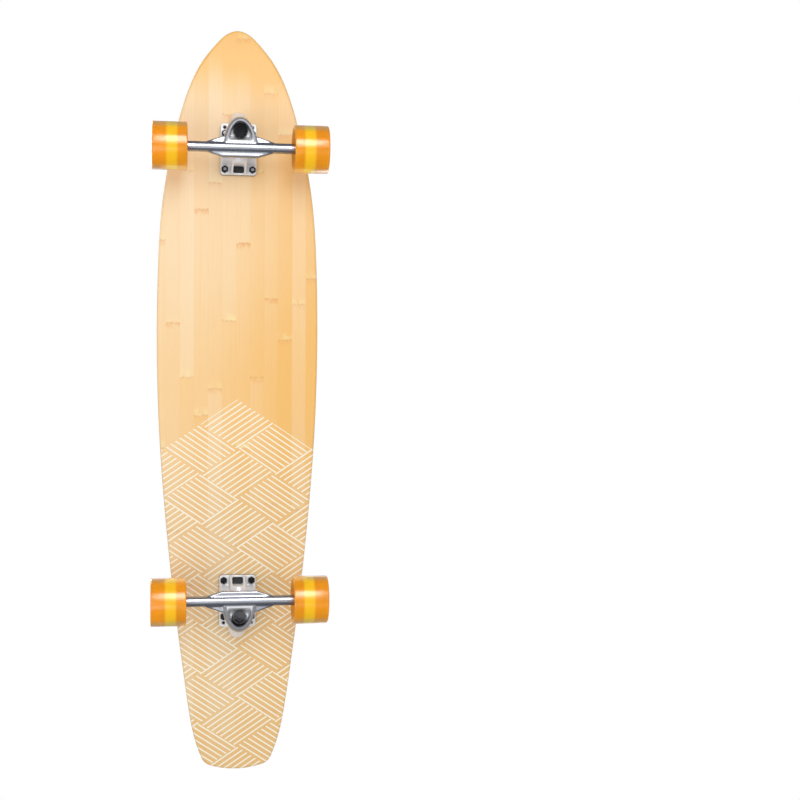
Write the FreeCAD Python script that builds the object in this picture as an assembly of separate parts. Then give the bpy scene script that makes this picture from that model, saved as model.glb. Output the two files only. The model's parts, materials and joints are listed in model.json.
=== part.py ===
# Longboard: a pressed bamboo and maple deck on two sprung trucks with four soft wheels.
# Millimetres. +X points at the nose, +Y to the left, +Z up; the wheels stand on Z = 0 at mid-length.
import FreeCAD
import Part
import math
import os
from FreeCAD import Placement, Rotation, Vector

# Deck
DECK_LENGTH = 1117.6
DECK_WIDTH = 241.3
BOTTOM_PLY = 1.5
CORE_PLIES = 8.0
TOP_PLY = 1.5
DECK_EDGE_RADIUS = 3.6
GRIP_THICKNESS = 0.8
GRIP_MARGIN = 4.8
NOSE_BEND_LENGTH = 120.0
NOSE_RISE = 12.0
TAIL_BEND_LENGTH = 160.0
TAIL_RISE = 13.0
WIDEST_FROM_NOSE = 454.0
TAIL_CORNER_RADIUS = 20.0
# Outline: share of the way from that end of the deck to its widest place, and share of the half width there
NOSE_OUTLINE_SHARES = [(0.0117, 0.133), (0.0452, 0.265), (0.0985, 0.421), (0.2313, 0.654), (0.3656, 0.792),
                       (0.5661, 0.93), (0.7665, 0.984)]
TAIL_OUTLINE_SHARES = [(0.0265, 0.43), (0.0627, 0.503), (0.1778, 0.625), (0.3376, 0.745), (0.5666, 0.883),
                       (0.7942, 0.974)]

# Truck places and the deck bolts
FRONT_TRUCK_FROM_NOSE = 187.3
REAR_TRUCK_FROM_TAIL = 260.8
BOLT_ROWS = 53.98
SPARE_ROW = 63.5
BOLT_ACROSS = 41.28
BOLT_RADIUS = 2.4
BOLT_HOLE_CLEARANCE = 0.2
BOLT_HEAD_RADIUS = 4.65
BOLT_HEAD_DEPTH = 2.6
BOLT_HEAD_BELOW_GRIP = 0.35
BOLT_PAST_NUT = 2.0
HEAD_CLEARANCE = 0.05
GRIP_HOLE_CLEARANCE = 0.3
CROSS_LENGTH = 5.0
CROSS_WIDTH = 1.1
CROSS_DEPTH = 1.5
LOCK_NUT_FLATS = 9.5
LOCK_NUT_HEIGHT = 4.3
LOCK_NUT_COLLAR_RADIUS = 4.2
LOCK_NUT_COLLAR = 1.3

# Truck geometry in its own frame: x outboard from the bolt pattern's centre, z up from the baseplate's top
AXLE_INBOARD = 3.0
AXLE_DROP = 62.0
KINGPIN_LEAN = 22.0
YOKE_OUTBOARD = 26.5
YOKE_DROP = 48.0
PIVOT_REACH = 35.7

# Baseplate and the riser pad between it and the deck
PAD_THICKNESS = 3.0
PLATE_INBOARD = 34.5
PLATE_OUTBOARD = 42.5
PLATE_WIDTH = 54.3
PLATE_THICKNESS = 6.0
PLATE_CORNER = 4.5
BOSS_RADIUS = 13.2
BOSS_EDGE_RADIUS = 2.2
SOCKET_WALL = 3.4
SOCKET_MOUTH = 7.0
RIB_GAP = 16.5
RIB_WALL = 3.2
RIB_END_HEIGHT = 8.5
POCKET_LENGTH = 10.5
POCKET_END_BAR = 3.0
SHOULDER_HEIGHT = 20.0
SHOULDER_LENGTH = 13.0
SHOULDER_MARGIN = 1.2

# Kingpin stack, measured along the kingpin from the middle of the hanger's yoke
KINGPIN_RADIUS = 4.76
KINGPIN_CLEARANCE = 0.1
KINGPIN_HEAD_RADIUS = 7.6
KINGPIN_HEAD_HEIGHT = 5.5
KINGPIN_HEAD_CLEARANCE = 0.3
KINGPIN_PAST_NUT = 2.4
SEAT_BORE_LENGTH = 19.0
BOARDSIDE_BUSHING_RADIUS = 12.0
BOARDSIDE_BUSHING_LENGTH = 13.4
ROADSIDE_BUSHING_WIDE = 10.2
ROADSIDE_BUSHING_LENGTH = 11.0
BUSHING_BORE_CLEARANCE = 0.3
WASHER_RADIUS = 9.9
WASHER_THICKNESS = 1.6
WASHER_LIP = 1.4
WASHER_LIP_HEIGHT = 1.8
LIP_CLEARANCE = 0.3
KINGPIN_NUT_FLATS = 14.3
KINGPIN_NUT_HEIGHT = 6.6
KINGPIN_NUT_COLLAR = 2.2
KINGPIN_NUT_COLLAR_RADIUS = 6.3

# Hanger
YOKE_REACH = 18.0
YOKE_HALF_WIDTH = 24.0
YOKE_DECK_FACE = 5.0
YOKE_BELOW_AXLE = 7.5
YOKE_ROAD_SEAT = 3.0
YOKE_RIM = 6.0
YOKE_RIM_TIP = 3.8
YOKE_RIM_FLANK = 5.2
RECESS_CLEARANCE = 0.6
LEDGE_DEPTH = 2.2
YOKE_BORE_RADIUS = 8.2
YOKE_EDGE_RADIUS = 1.6
TUBE_RADIUS = 7.75
TUBE_HALF_LENGTH = 90.0
NECK_HALF_WIDTH = 17.0
NECK_CLEARANCE = 1.0
SOCKET_GAP = 2.2
WING_SPAN = 72.0
WING_ROOT = 26.0
WING_OUTBOARD = 8.3
WING_INBOARD = 6.8
WING_THICKNESS = 10.0
WING_BELOW_AXLE = 4.0
WING_EDGE_RADIUS = 2.2
NOSE_RADIUS = 6.0
NOSE_ROOT_RADIUS = 8.5
PIVOT_CUP_WALL = 3.0
PIVOT_CUP_FLOOR = 2.2
PIVOT_RUNNING_CLEARANCE = 0.06
CUP_CLEARANCE = 0.05

# Axle, bearings and wheels, measured along the axle from the hanger's end face
AXLE_RADIUS = 4.0
AXLE_PAST_NUT = 2.5
SPEED_WASHER_THICKNESS = 1.0
SPEED_WASHER_RADIUS = 5.6
SLIP_CLEARANCE = 0.03
BEARING_RADIUS = 11.0
BEARING_WIDTH = 7.0
BALL_RADIUS = 1.95
BALL_COUNT = 7
BALL_CIRCLE_RADIUS = 7.6
BALL_CLEARANCE = 0.06
INNER_RACE_RADIUS = 6.1
OUTER_RACE_BORE = 9.1
SHIELD_THICKNESS = 0.4
SHIELD_INSET = 0.25
SHIELD_GAP = 0.35
CAGE_WALL = 0.7
CAGE_RIM = 0.45
CAGE_CLEARANCE = 0.12
SPACER_LENGTH = 10.0
SPACER_RADIUS = 5.4
AXLE_NUT_FLATS = 12.7
AXLE_NUT_HEIGHT = 5.4
AXLE_NUT_COLLAR = 1.8
AXLE_NUT_COLLAR_RADIUS = 5.6
WHEEL_RADIUS = 35.0
WHEEL_WIDTH = 51.0
WHEEL_EDGE_RADIUS = 1.8
WHEEL_LIP = 2.6
WHEEL_DISH_FLOOR = 3.0
CORE_RIM_RADIUS = 22.0
CORE_RIM_WIDTH = 15.6
CORE_RIM_INBOARD = 3.0
CORE_BARREL_RADIUS = 14.0
CORE_WEB_BORE = 9.3
BORE_CLEARANCE = 0.02

# Places worked out from the sizes above
HALF_LENGTH = DECK_LENGTH / 2
HALF_WIDTH = DECK_WIDTH / 2
WIDEST_FROM_TAIL = DECK_LENGTH - WIDEST_FROM_NOSE
DECK_THICKNESS = BOTTOM_PLY + CORE_PLIES + TOP_PLY
PLATE_TOP_Z = WHEEL_RADIUS + AXLE_DROP
DECK_BOTTOM_Z = PLATE_TOP_Z + PAD_THICKNESS
BOLT_HOLE_RADIUS = BOLT_RADIUS + BOLT_HOLE_CLEARANCE
BEARING_NEAR = TUBE_HALF_LENGTH + SPEED_WASHER_THICKNESS
BEARING_FAR = BEARING_NEAR + BEARING_WIDTH + SPACER_LENGTH
WHEEL_CENTRE = BEARING_NEAR + BEARING_WIDTH + SPACER_LENGTH / 2
CORE_HALF_WIDTH = BEARING_WIDTH + SPACER_LENGTH / 2
OUTER_WASHER = BEARING_FAR + BEARING_WIDTH
AXLE_NUT_START = OUTER_WASHER + SPEED_WASHER_THICKNESS
AXLE_HALF_LENGTH = AXLE_NUT_START + AXLE_NUT_HEIGHT + AXLE_NUT_COLLAR + AXLE_PAST_NUT
SEAT_HEIGHT = YOKE_DECK_FACE + BOARDSIDE_BUSHING_LENGTH + WASHER_THICKNESS
ROAD_WASHER_TOP = -(YOKE_ROAD_SEAT + ROADSIDE_BUSHING_LENGTH)
KINGPIN_NUT_TOP = ROAD_WASHER_TOP - WASHER_THICKNESS
RIM_BOTTOM = -(YOKE_ROAD_SEAT + YOKE_RIM)
SOCKET_BORE_RADIUS = NOSE_RADIUS + PIVOT_RUNNING_CLEARANCE
CUP_RADIUS = SOCKET_BORE_RADIUS + PIVOT_CUP_WALL
SOCKET_RADIUS = CUP_RADIUS + CUP_CLEARANCE + SOCKET_WALL
BUSHING_NARROW = WASHER_RADIUS - WASHER_LIP - LIP_CLEARANCE
KINGPIN_NUT_END = KINGPIN_NUT_TOP - KINGPIN_NUT_HEIGHT - KINGPIN_NUT_COLLAR
CAGE_HALF_WIDTH = BALL_RADIUS + CAGE_CLEARANCE + CAGE_RIM
KINGPIN_HEAD_START = SEAT_HEIGHT + SEAT_BORE_LENGTH
MOUTH = SOCKET_MOUTH - PIVOT_REACH
CUP_END = -(PIVOT_REACH + SOCKET_BORE_RADIUS + PIVOT_CUP_FLOOR)
RIB_OUTER = RIB_GAP / 2 + RIB_WALL
NECK_FRONT = -(WASHER_RADIUS + NECK_CLEARANCE)
FRONT_CENTRE = HALF_LENGTH - FRONT_TRUCK_FROM_NOSE
REAR_CENTRE = REAR_TRUCK_FROM_TAIL - HALF_LENGTH
HEAD_TOP_Z = DECK_BOTTOM_Z + DECK_THICKNESS + GRIP_THICKNESS - BOLT_HEAD_BELOW_GRIP
# Reach of a cutting tool, how far a bend runs past the deck's end, and what counts as no length at all
FAR = 400.0
BEND_OVERRUN = 1.15
TINY = 1e-4

X_AXIS = Vector(1, 0, 0)
Y_AXIS = Vector(0, 1, 0)
Z_AXIS = Vector(0, 0, 1)
ORIGIN = Vector(0, 0, 0)
# The yoke's frame: its z runs up the kingpin towards the deck, its x outboard along the steering axis
YOKE_FRAME = Placement(Vector(YOKE_OUTBOARD, 0, -YOKE_DROP), Rotation(Y_AXIS, KINGPIN_LEAN))
AXLE = Vector(-AXLE_INBOARD, 0, -AXLE_DROP)
AXLE_IN_YOKE = YOKE_FRAME.inverse().multVec(AXLE)
YOKE_FOOT = AXLE_IN_YOKE.z - YOKE_BELOW_AXLE
PIVOT = YOKE_FRAME.multVec(Vector(-PIVOT_REACH, 0, 0))


def cylinder(radius, start, end, axis=Z_AXIS, centre=ORIGIN):
    """Round bar between two stations along an axis through a centre."""
    return Part.makeCylinder(radius, end - start, centre + axis * start, axis)


def ring(outer, inner, start, end, axis=Z_AXIS, centre=ORIGIN):
    """Round tube between two stations along an axis through a centre."""
    bar = cylinder(outer, start, end, axis, centre)
    return bar.cut(cylinder(inner, start, end, axis, centre))


def prism(points, direction):
    """Solid pushed along a direction from a closed run of straight edges."""
    return Part.Face(Part.makePolygon(points + points[:1])).extrude(direction)


def hex_bar(flats, start, end, axis=Z_AXIS, centre=ORIGIN):
    """Hexagonal bar, flats across, between two stations along an axis."""
    corner = flats / math.sqrt(3)
    points = []
    for step in range(6):
        angle = math.radians(60 * step)
        points.append(Vector(corner * math.cos(angle), corner * math.sin(angle), start))
    bar = prism(points, Z_AXIS * (end - start))
    bar.Placement = Placement(centre, Rotation(Z_AXIS, axis))
    return bar


def turned(profile):
    """Solid of revolution about Y from points given as (radius, station along Y)."""
    points = [Vector(radius, station, 0) for radius, station in profile]
    return Part.Face(Part.makePolygon(points + points[:1])).revolve(ORIGIN, Y_AXIS, 360)


def merged(shapes):
    """One solid from several that overlap, with shared faces joined up."""
    return shapes[0].fuse(shapes[1:]).removeSplitter()


def without(shape, tools):
    """Shape with every tool cut away."""
    return shape.cut(Part.makeCompound(tools))


def moved(shape, offset):
    """Copy of a shape shifted by an offset."""
    copy = shape.copy()
    copy.translate(offset)
    return copy


def placed(shape, frame):
    """Copy of a shape carried out of a frame into the one that holds it."""
    copy = shape.copy()
    copy.Placement = frame.multiply(copy.Placement)
    return copy


def leaned(shape):
    """Copy of a shape carried from the yoke's frame into the truck's frame."""
    return placed(shape, YOKE_FRAME)


# Deck
def rim_points():
    """Points round the deck's rim from the right tail corner by way of the nose to the left tail corner."""
    left = []
    for along, across in NOSE_OUTLINE_SHARES:
        left.append(Vector(HALF_LENGTH - along * WIDEST_FROM_NOSE, across * HALF_WIDTH, 0))
    left.append(Vector(HALF_LENGTH - WIDEST_FROM_NOSE, HALF_WIDTH, 0))
    for along, across in reversed(TAIL_OUTLINE_SHARES):
        left.append(Vector(along * WIDEST_FROM_TAIL - HALF_LENGTH, across * HALF_WIDTH, 0))
    right = [Vector(point.x, -point.y, 0) for point in reversed(left)]
    return right + [Vector(HALF_LENGTH, 0, 0)] + left


def smooth_curve(points):
    """One smooth curve through a run of points."""
    curve = Part.BSplineCurve()
    curve.interpolate(points)
    return curve


def deck_outline(inset=0.0):
    """Closed plan outline drawn in by an inset: smooth sides, round tail corners and an arced tail end."""
    rim = rim_points()
    rim_curve = smooth_curve(rim)
    inward = []
    for point in rim:
        heading = rim_curve.tangent(rim_curve.parameter(point))[0]
        inward.append(Vector(-heading.y, heading.x, 0))
    points = [point + normal * inset for point, normal in zip(rim, inward)]
    sides = smooth_curve(points)
    right_widest = len(TAIL_OUTLINE_SHARES)
    nose_tip = right_widest + len(NOSE_OUTLINE_SHARES) + 1
    breaks = [points[place] for place in (0, right_widest, nose_tip, 2 * nose_tip - right_widest, -1)]
    breaks = [sides.parameter(point) for point in breaks]
    corner_centre = rim[-1] + inward[-1] * TAIL_CORNER_RADIUS
    depth = corner_centre.x + HALF_LENGTH
    end_radius = depth ** 2 + corner_centre.y ** 2 - TAIL_CORNER_RADIUS ** 2
    end_radius /= 2 * (depth - TAIL_CORNER_RADIUS)
    end_centre = Vector(end_radius - HALF_LENGTH, 0, 0)
    outward = (corner_centre - end_centre).normalize()
    end_start = end_centre + outward * (end_radius - inset)
    halfway = (outward - inward[-1]).normalize()
    corner_middle = corner_centre + halfway * (TAIL_CORNER_RADIUS - inset)
    corner = Part.Arc(points[-1], corner_middle, end_start).toShape()
    end_middle = Vector(inset - HALF_LENGTH, 0, 0)
    end = Part.Arc(end_start, end_middle, Vector(end_start.x, -end_start.y, 0)).toShape()
    edges = [sides.toShape(low, high) for low, high in zip(breaks, breaks[1:])]
    edges += [corner, end, corner.mirror(ORIGIN, Y_AXIS)]
    return Part.Wire(Part.__sortEdges__(edges))


def bend_points(start, length, rise, side, height):
    """First, middle and last point of an upturned end at a height above the deck's underside."""
    radius = (length ** 2 + rise ** 2) / (2 * rise)
    full_turn = BEND_OVERRUN * math.asin(length / radius)
    points = []
    for turn in (0, full_turn / 2, full_turn):
        reach = (radius - height) * math.sin(turn)
        lift = radius - (radius - height) * math.cos(turn)
        points.append(Vector(start + side * reach, -FAR, DECK_BOTTOM_Z + lift))
    return points


def deck_layer(low, high):
    """Wide curved sheet between two heights above the deck's underside, not yet cut to the outline."""
    nose_start = HALF_LENGTH - NOSE_BEND_LENGTH
    tail_start = TAIL_BEND_LENGTH - HALF_LENGTH
    edges = []
    ends = []
    for height in (low, high):
        nose = bend_points(nose_start, NOSE_BEND_LENGTH, NOSE_RISE, 1, height)
        tail = bend_points(tail_start, TAIL_BEND_LENGTH, TAIL_RISE, -1, height)
        edges.append(Part.Arc(*nose).toShape())
        edges.append(Part.LineSegment(nose[0], tail[0]).toShape())
        edges.append(Part.Arc(*tail).toShape())
        ends.append((nose[2], tail[2]))
    edges.append(Part.LineSegment(ends[0][0], ends[1][0]).toShape())
    edges.append(Part.LineSegment(ends[0][1], ends[1][1]).toShape())
    wire = Part.Wire(Part.__sortEdges__(edges))
    return Part.Face(wire).extrude(Y_AXIS * (2 * FAR))


def bolt_places():
    """Deck bolt centres in plan, four at each truck."""
    places = []
    for centre in (FRONT_CENTRE, REAR_CENTRE):
        for along in (-BOLT_ROWS / 2, BOLT_ROWS / 2):
            for across in (-BOLT_ACROSS / 2, BOLT_ACROSS / 2):
                places.append(Vector(centre + along, across, 0))
    return places


def countersunk(shank_radius, head_radius, bottom, top):
    """Screw shape standing on +Z: a shank from the bottom and a cone head under the top."""
    head_base = top - BOLT_HEAD_DEPTH
    shank = cylinder(shank_radius, bottom, head_base)
    head = Part.makeCone(shank_radius, head_radius, BOLT_HEAD_DEPTH, Vector(0, 0, head_base), Z_AXIS)
    return shank.fuse(head)


def is_seam(edge):
    """True for an edge that only divides flat from bent on a broad face or stands upright on the rim."""
    box = edge.BoundBox
    upright = box.XLength < TINY and box.YLength < TINY
    crosswise = box.XLength < TINY and box.ZLength < TINY
    return upright or crosswise


def build_deck():
    """The pressed plies and the grip sheet, drilled for the truck bolts."""
    plan = Part.Face(deck_outline())
    low_z = Vector(0, 0, DECK_BOTTOM_Z - FAR / 2)
    blank = moved(plan, low_z).extrude(Z_AXIS * FAR).common(deck_layer(0, DECK_THICKNESS))
    rim_edges = [edge for edge in blank.Edges if not is_seam(edge)]
    rounded = blank.makeFillet(DECK_EDGE_RADIUS, rim_edges)
    grip_plan = Part.Face(deck_outline(GRIP_MARGIN))
    grip_prism = moved(grip_plan, low_z).extrude(Z_AXIS * FAR)
    drill = countersunk(BOLT_HOLE_RADIUS, BOLT_HEAD_RADIUS + HEAD_CLEARANCE, 0, HEAD_TOP_Z)
    drills = [moved(drill, place) for place in bolt_places()]
    punch = cylinder(BOLT_HEAD_RADIUS + GRIP_HOLE_CLEARANCE, 0, FAR)
    punches = [moved(punch, place) for place in bolt_places()]
    core_top = BOTTOM_PLY + CORE_PLIES
    grip_top = DECK_THICKNESS + GRIP_THICKNESS
    return {
        "deck_bottom_ply": without(rounded.common(deck_layer(0, BOTTOM_PLY)), drills),
        "deck_core": without(rounded.common(deck_layer(BOTTOM_PLY, core_top)), drills),
        "deck_top_ply": without(rounded.common(deck_layer(core_top, DECK_THICKNESS)), drills),
        "grip_tape": without(grip_prism.common(deck_layer(DECK_THICKNESS, grip_top)), punches),
    }


# Deck bolts
def deck_bolts(places):
    """Countersunk screws with a cross recess, heads just under the grip's face."""
    nut_bottom = PLATE_TOP_Z - PLATE_THICKNESS - LOCK_NUT_HEIGHT - LOCK_NUT_COLLAR
    screw = countersunk(BOLT_RADIUS, BOLT_HEAD_RADIUS, nut_bottom - BOLT_PAST_NUT, HEAD_TOP_Z)
    low = HEAD_TOP_Z - CROSS_DEPTH
    bar = Part.makeBox(CROSS_LENGTH, CROSS_WIDTH, FAR, Vector(-CROSS_LENGTH / 2, -CROSS_WIDTH / 2, low))
    across = Part.makeBox(CROSS_WIDTH, CROSS_LENGTH, FAR, Vector(-CROSS_WIDTH / 2, -CROSS_LENGTH / 2, low))
    screw = without(screw, [bar, across])
    return Part.makeCompound([moved(screw, place) for place in places])


def deck_nuts(places):
    """Hexagonal lock nuts with a round collar, under the baseplate."""
    top = PLATE_TOP_Z - PLATE_THICKNESS
    low = top - LOCK_NUT_HEIGHT
    collar_end = low - LOCK_NUT_COLLAR
    nut = hex_bar(LOCK_NUT_FLATS, low, top)
    nut = nut.fuse(cylinder(LOCK_NUT_COLLAR_RADIUS, collar_end, low))
    nut = nut.cut(cylinder(BOLT_RADIUS, collar_end, top))
    return Part.makeCompound([moved(nut, place) for place in places])


# Baseplate
def plate_slab(low, high):
    """Slab of the baseplate's plan with rounded corners, between two heights."""
    slab = Part.makeBox(PLATE_INBOARD + PLATE_OUTBOARD, PLATE_WIDTH, high - low,
                        Vector(-PLATE_INBOARD, -PLATE_WIDTH / 2, low))
    upright = [edge for edge in slab.Edges if edge.BoundBox.ZLength > TINY]
    return slab.makeFillet(PLATE_CORNER, upright)


def bolt_holes(rows, low, high):
    """Drills for a pair of deck bolts at each row, between two heights."""
    drills = []
    for row in rows:
        for side in (-BOLT_ACROSS / 2, BOLT_ACROSS / 2):
            drills.append(cylinder(BOLT_HOLE_RADIUS, low, high, Z_AXIS, Vector(row, side, 0)))
    return drills


def riser_pad():
    """Soft pad between the baseplate and the deck, drilled for the deck bolts alone."""
    rows = (-BOLT_ROWS / 2, BOLT_ROWS / 2)
    return without(plate_slab(0, PAD_THICKNESS), bolt_holes(rows, 0, PAD_THICKNESS))


def boss_blank():
    """Round boss about the kingpin, its seat's edge rounded, cut off level with the baseplate's top."""
    blank = cylinder(BOSS_RADIUS, SEAT_HEIGHT, FAR / 2)
    rim = [edge for edge in blank.Edges if edge.BoundBox.ZMax < SEAT_HEIGHT + TINY]
    below_top = Part.makeBox(FAR, FAR, FAR, Vector(-FAR / 2, -FAR / 2, -FAR))
    return leaned(blank.makeFillet(BOSS_EDGE_RADIUS, rim)).common(below_top)


def baseplate():
    """Cast base: a drilled plate, the kingpin boss, and the pivot socket between two ribs."""
    half = PLATE_WIDTH / 2
    plate = plate_slab(-PLATE_THICKNESS, 0)
    boss = boss_blank()
    socket = leaned(cylinder(SOCKET_RADIUS, CUP_END - SOCKET_WALL, MOUTH, X_AXIS))
    pocket_start = POCKET_END_BAR - PLATE_INBOARD
    pocket_end = pocket_start + POCKET_LENGTH
    pedestal = Part.makeBox(PIVOT.x - pocket_end, 2 * RIB_OUTER, -PIVOT.z,
                            Vector(pocket_end, -RIB_OUTER, PIVOT.z))
    rib_side = [Vector(-PLATE_INBOARD, 0, 0), Vector(-PLATE_INBOARD, 0, -RIB_END_HEIGHT),
                Vector(PIVOT.x - SOCKET_RADIUS / 2, 0, PIVOT.z), PIVOT, Vector(PIVOT.x, 0, 0)]
    ribs = []
    for start in (RIB_GAP / 2, -RIB_OUTER):
        ribs.append(moved(prism(rib_side, Y_AXIS * RIB_WALL), Y_AXIS * start))
    foot = pocket_end + SHOULDER_MARGIN
    shoulder_side = [Vector(foot, 0, 0), Vector(foot, 0, -PLATE_THICKNESS),
                     Vector(foot + SHOULDER_LENGTH, 0, -SHOULDER_HEIGHT),
                     Vector(foot + 2 * SHOULDER_LENGTH, 0, -SHOULDER_HEIGHT),
                     Vector(foot + 3 * SHOULDER_LENGTH, 0, -PLATE_THICKNESS),
                     Vector(foot + 3 * SHOULDER_LENGTH, 0, 0)]
    shoulder_width = half - SHOULDER_MARGIN - RIB_OUTER
    shoulders = []
    for start in (RIB_OUTER, SHOULDER_MARGIN - half):
        shoulders.append(moved(prism(shoulder_side, Y_AXIS * shoulder_width), Y_AXIS * start))
    body = merged([plate, boss, socket, pedestal] + ribs + shoulders)
    tools = [leaned(cylinder(KINGPIN_RADIUS + KINGPIN_CLEARANCE, 0, FAR / 2))]
    tools.append(leaned(cylinder(KINGPIN_HEAD_RADIUS + KINGPIN_HEAD_CLEARANCE, KINGPIN_HEAD_START, FAR / 2)))
    tools.append(leaned(cylinder(CUP_RADIUS + CUP_CLEARANCE, CUP_END, 0, X_AXIS)))
    tools.append(Part.makeBox(POCKET_LENGTH, RIB_GAP, 2 * RIB_END_HEIGHT,
                              Vector(pocket_start, -RIB_GAP / 2, -RIB_END_HEIGHT)))
    inboard_row = -BOLT_ROWS / 2
    rows = (inboard_row, -inboard_row, inboard_row + SPARE_ROW)
    return without(body, tools + bolt_holes(rows, -PLATE_THICKNESS, 0))


def pivot_cup():
    """Soft socket liner that the hanger's nose turns in."""
    cup = cylinder(CUP_RADIUS, CUP_END, MOUTH, X_AXIS)
    ball = Part.makeSphere(SOCKET_BORE_RADIUS, Vector(-PIVOT_REACH, 0, 0))
    return leaned(without(cup, [cylinder(SOCKET_BORE_RADIUS, -PIVOT_REACH, MOUTH, X_AXIS), ball]))


# Kingpin stack, made upright in the yoke's frame and then leaned
def kingpin():
    """Kingpin bolt with its head held inside the baseplate."""
    shank = cylinder(KINGPIN_RADIUS, KINGPIN_NUT_END - KINGPIN_PAST_NUT, KINGPIN_HEAD_START)
    head = cylinder(KINGPIN_HEAD_RADIUS, KINGPIN_HEAD_START, KINGPIN_HEAD_START + KINGPIN_HEAD_HEIGHT)
    return leaned(shank.fuse(head))


def kingpin_nut():
    """Hexagonal lock nut with its collar at the road end."""
    low = KINGPIN_NUT_TOP - KINGPIN_NUT_HEIGHT
    nut = hex_bar(KINGPIN_NUT_FLATS, low, KINGPIN_NUT_TOP)
    nut = nut.fuse(cylinder(KINGPIN_NUT_COLLAR_RADIUS, KINGPIN_NUT_END, low))
    return leaned(nut.cut(cylinder(KINGPIN_RADIUS, KINGPIN_NUT_END, KINGPIN_NUT_TOP)))


def cup_washers():
    """Lipped washer under the nut, and the flat washer on the baseplate's seat."""
    bore = KINGPIN_RADIUS + KINGPIN_CLEARANCE
    floor = ring(WASHER_RADIUS, bore, KINGPIN_NUT_TOP, ROAD_WASHER_TOP)
    lip_end = ROAD_WASHER_TOP + WASHER_LIP_HEIGHT
    lip = ring(WASHER_RADIUS, WASHER_RADIUS - WASHER_LIP, ROAD_WASHER_TOP, lip_end)
    flat = ring(BOARDSIDE_BUSHING_RADIUS, bore, SEAT_HEIGHT - WASHER_THICKNESS, SEAT_HEIGHT)
    return Part.makeCompound([leaned(floor.fuse(lip)), leaned(flat)])


def boardside_bushing():
    """Barrel bushing between the baseplate's seat and the yoke."""
    bore = KINGPIN_RADIUS + BUSHING_BORE_CLEARANCE
    seat = YOKE_DECK_FACE + BOARDSIDE_BUSHING_LENGTH
    return leaned(ring(BOARDSIDE_BUSHING_RADIUS, bore, YOKE_DECK_FACE, seat))


def roadside_bushing():
    """Cone bushing seated in the yoke's recess, its narrow end inside the washer's lip."""
    bore = KINGPIN_RADIUS + BUSHING_BORE_CLEARANCE
    neck_top = ROAD_WASHER_TOP + WASHER_LIP_HEIGHT + LIP_CLEARANCE
    neck = cylinder(BUSHING_NARROW, ROAD_WASHER_TOP, neck_top)
    cone_height = -YOKE_ROAD_SEAT - neck_top
    cone = Part.makeCone(BUSHING_NARROW, ROADSIDE_BUSHING_WIDE, cone_height, Vector(0, 0, neck_top))
    return leaned(neck.fuse(cone).cut(cylinder(bore, ROAD_WASHER_TOP, -YOKE_ROAD_SEAT)))


# Hanger
def half_oval(reach, half_width, low, high):
    """Block on half an oval: widest at the axle, its tip a reach beyond the kingpin, between two heights."""
    centre = Vector(AXLE_IN_YOKE.x, 0, low)
    oval = Part.Ellipse(Vector(reach, 0, low), centre + Y_AXIS * half_width, centre)
    arch = Part.ArcOfEllipse(oval, -math.pi / 2, math.pi / 2).toShape()
    base = Part.LineSegment(centre + Y_AXIS * half_width, centre - Y_AXIS * half_width).toShape()
    return Part.Face(Part.Wire([arch, base])).extrude(Z_AXIS * (high - low))


def yoke():
    """Pointed arch that the bushings clamp, wide and deep where it meets the axle tube."""
    block = half_oval(YOKE_REACH, YOKE_HALF_WIDTH, YOKE_FOOT, YOKE_DECK_FACE)
    side_view = [Vector(YOKE_REACH, -YOKE_HALF_WIDTH, YOKE_DECK_FACE),
                 Vector(YOKE_REACH, -YOKE_HALF_WIDTH, RIM_BOTTOM),
                 Vector(AXLE_IN_YOKE.x, -YOKE_HALF_WIDTH, YOKE_FOOT),
                 Vector(AXLE_IN_YOKE.x, -YOKE_HALF_WIDTH, YOKE_DECK_FACE)]
    arch = block.common(prism(side_view, Y_AXIS * (2 * YOKE_HALF_WIDTH))).removeSplitter()
    rims = [edge for edge in arch.Edges if not isinstance(edge.Curve, Part.Line)]
    return arch.makeFillet(YOKE_EDGE_RADIUS, rims)


def yoke_recess():
    """Room in the yoke's road side for the cone bushing and its washer, inside a raised rim."""
    bushing_room = cylinder(ROADSIDE_BUSHING_WIDE + RECESS_CLEARANCE, YOKE_FOOT, -YOKE_ROAD_SEAT)
    ledge_reach = YOKE_REACH - YOKE_RIM_TIP
    ledge_half_width = YOKE_HALF_WIDTH - YOKE_RIM_FLANK
    ledge = half_oval(ledge_reach, ledge_half_width, YOKE_FOOT, RIM_BOTTOM + LEDGE_DEPTH)
    before_neck = Part.makeBox(FAR, FAR, FAR, Vector(NECK_FRONT, -FAR / 2, -FAR / 2))
    return bushing_room.fuse(ledge.common(before_neck))


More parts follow.
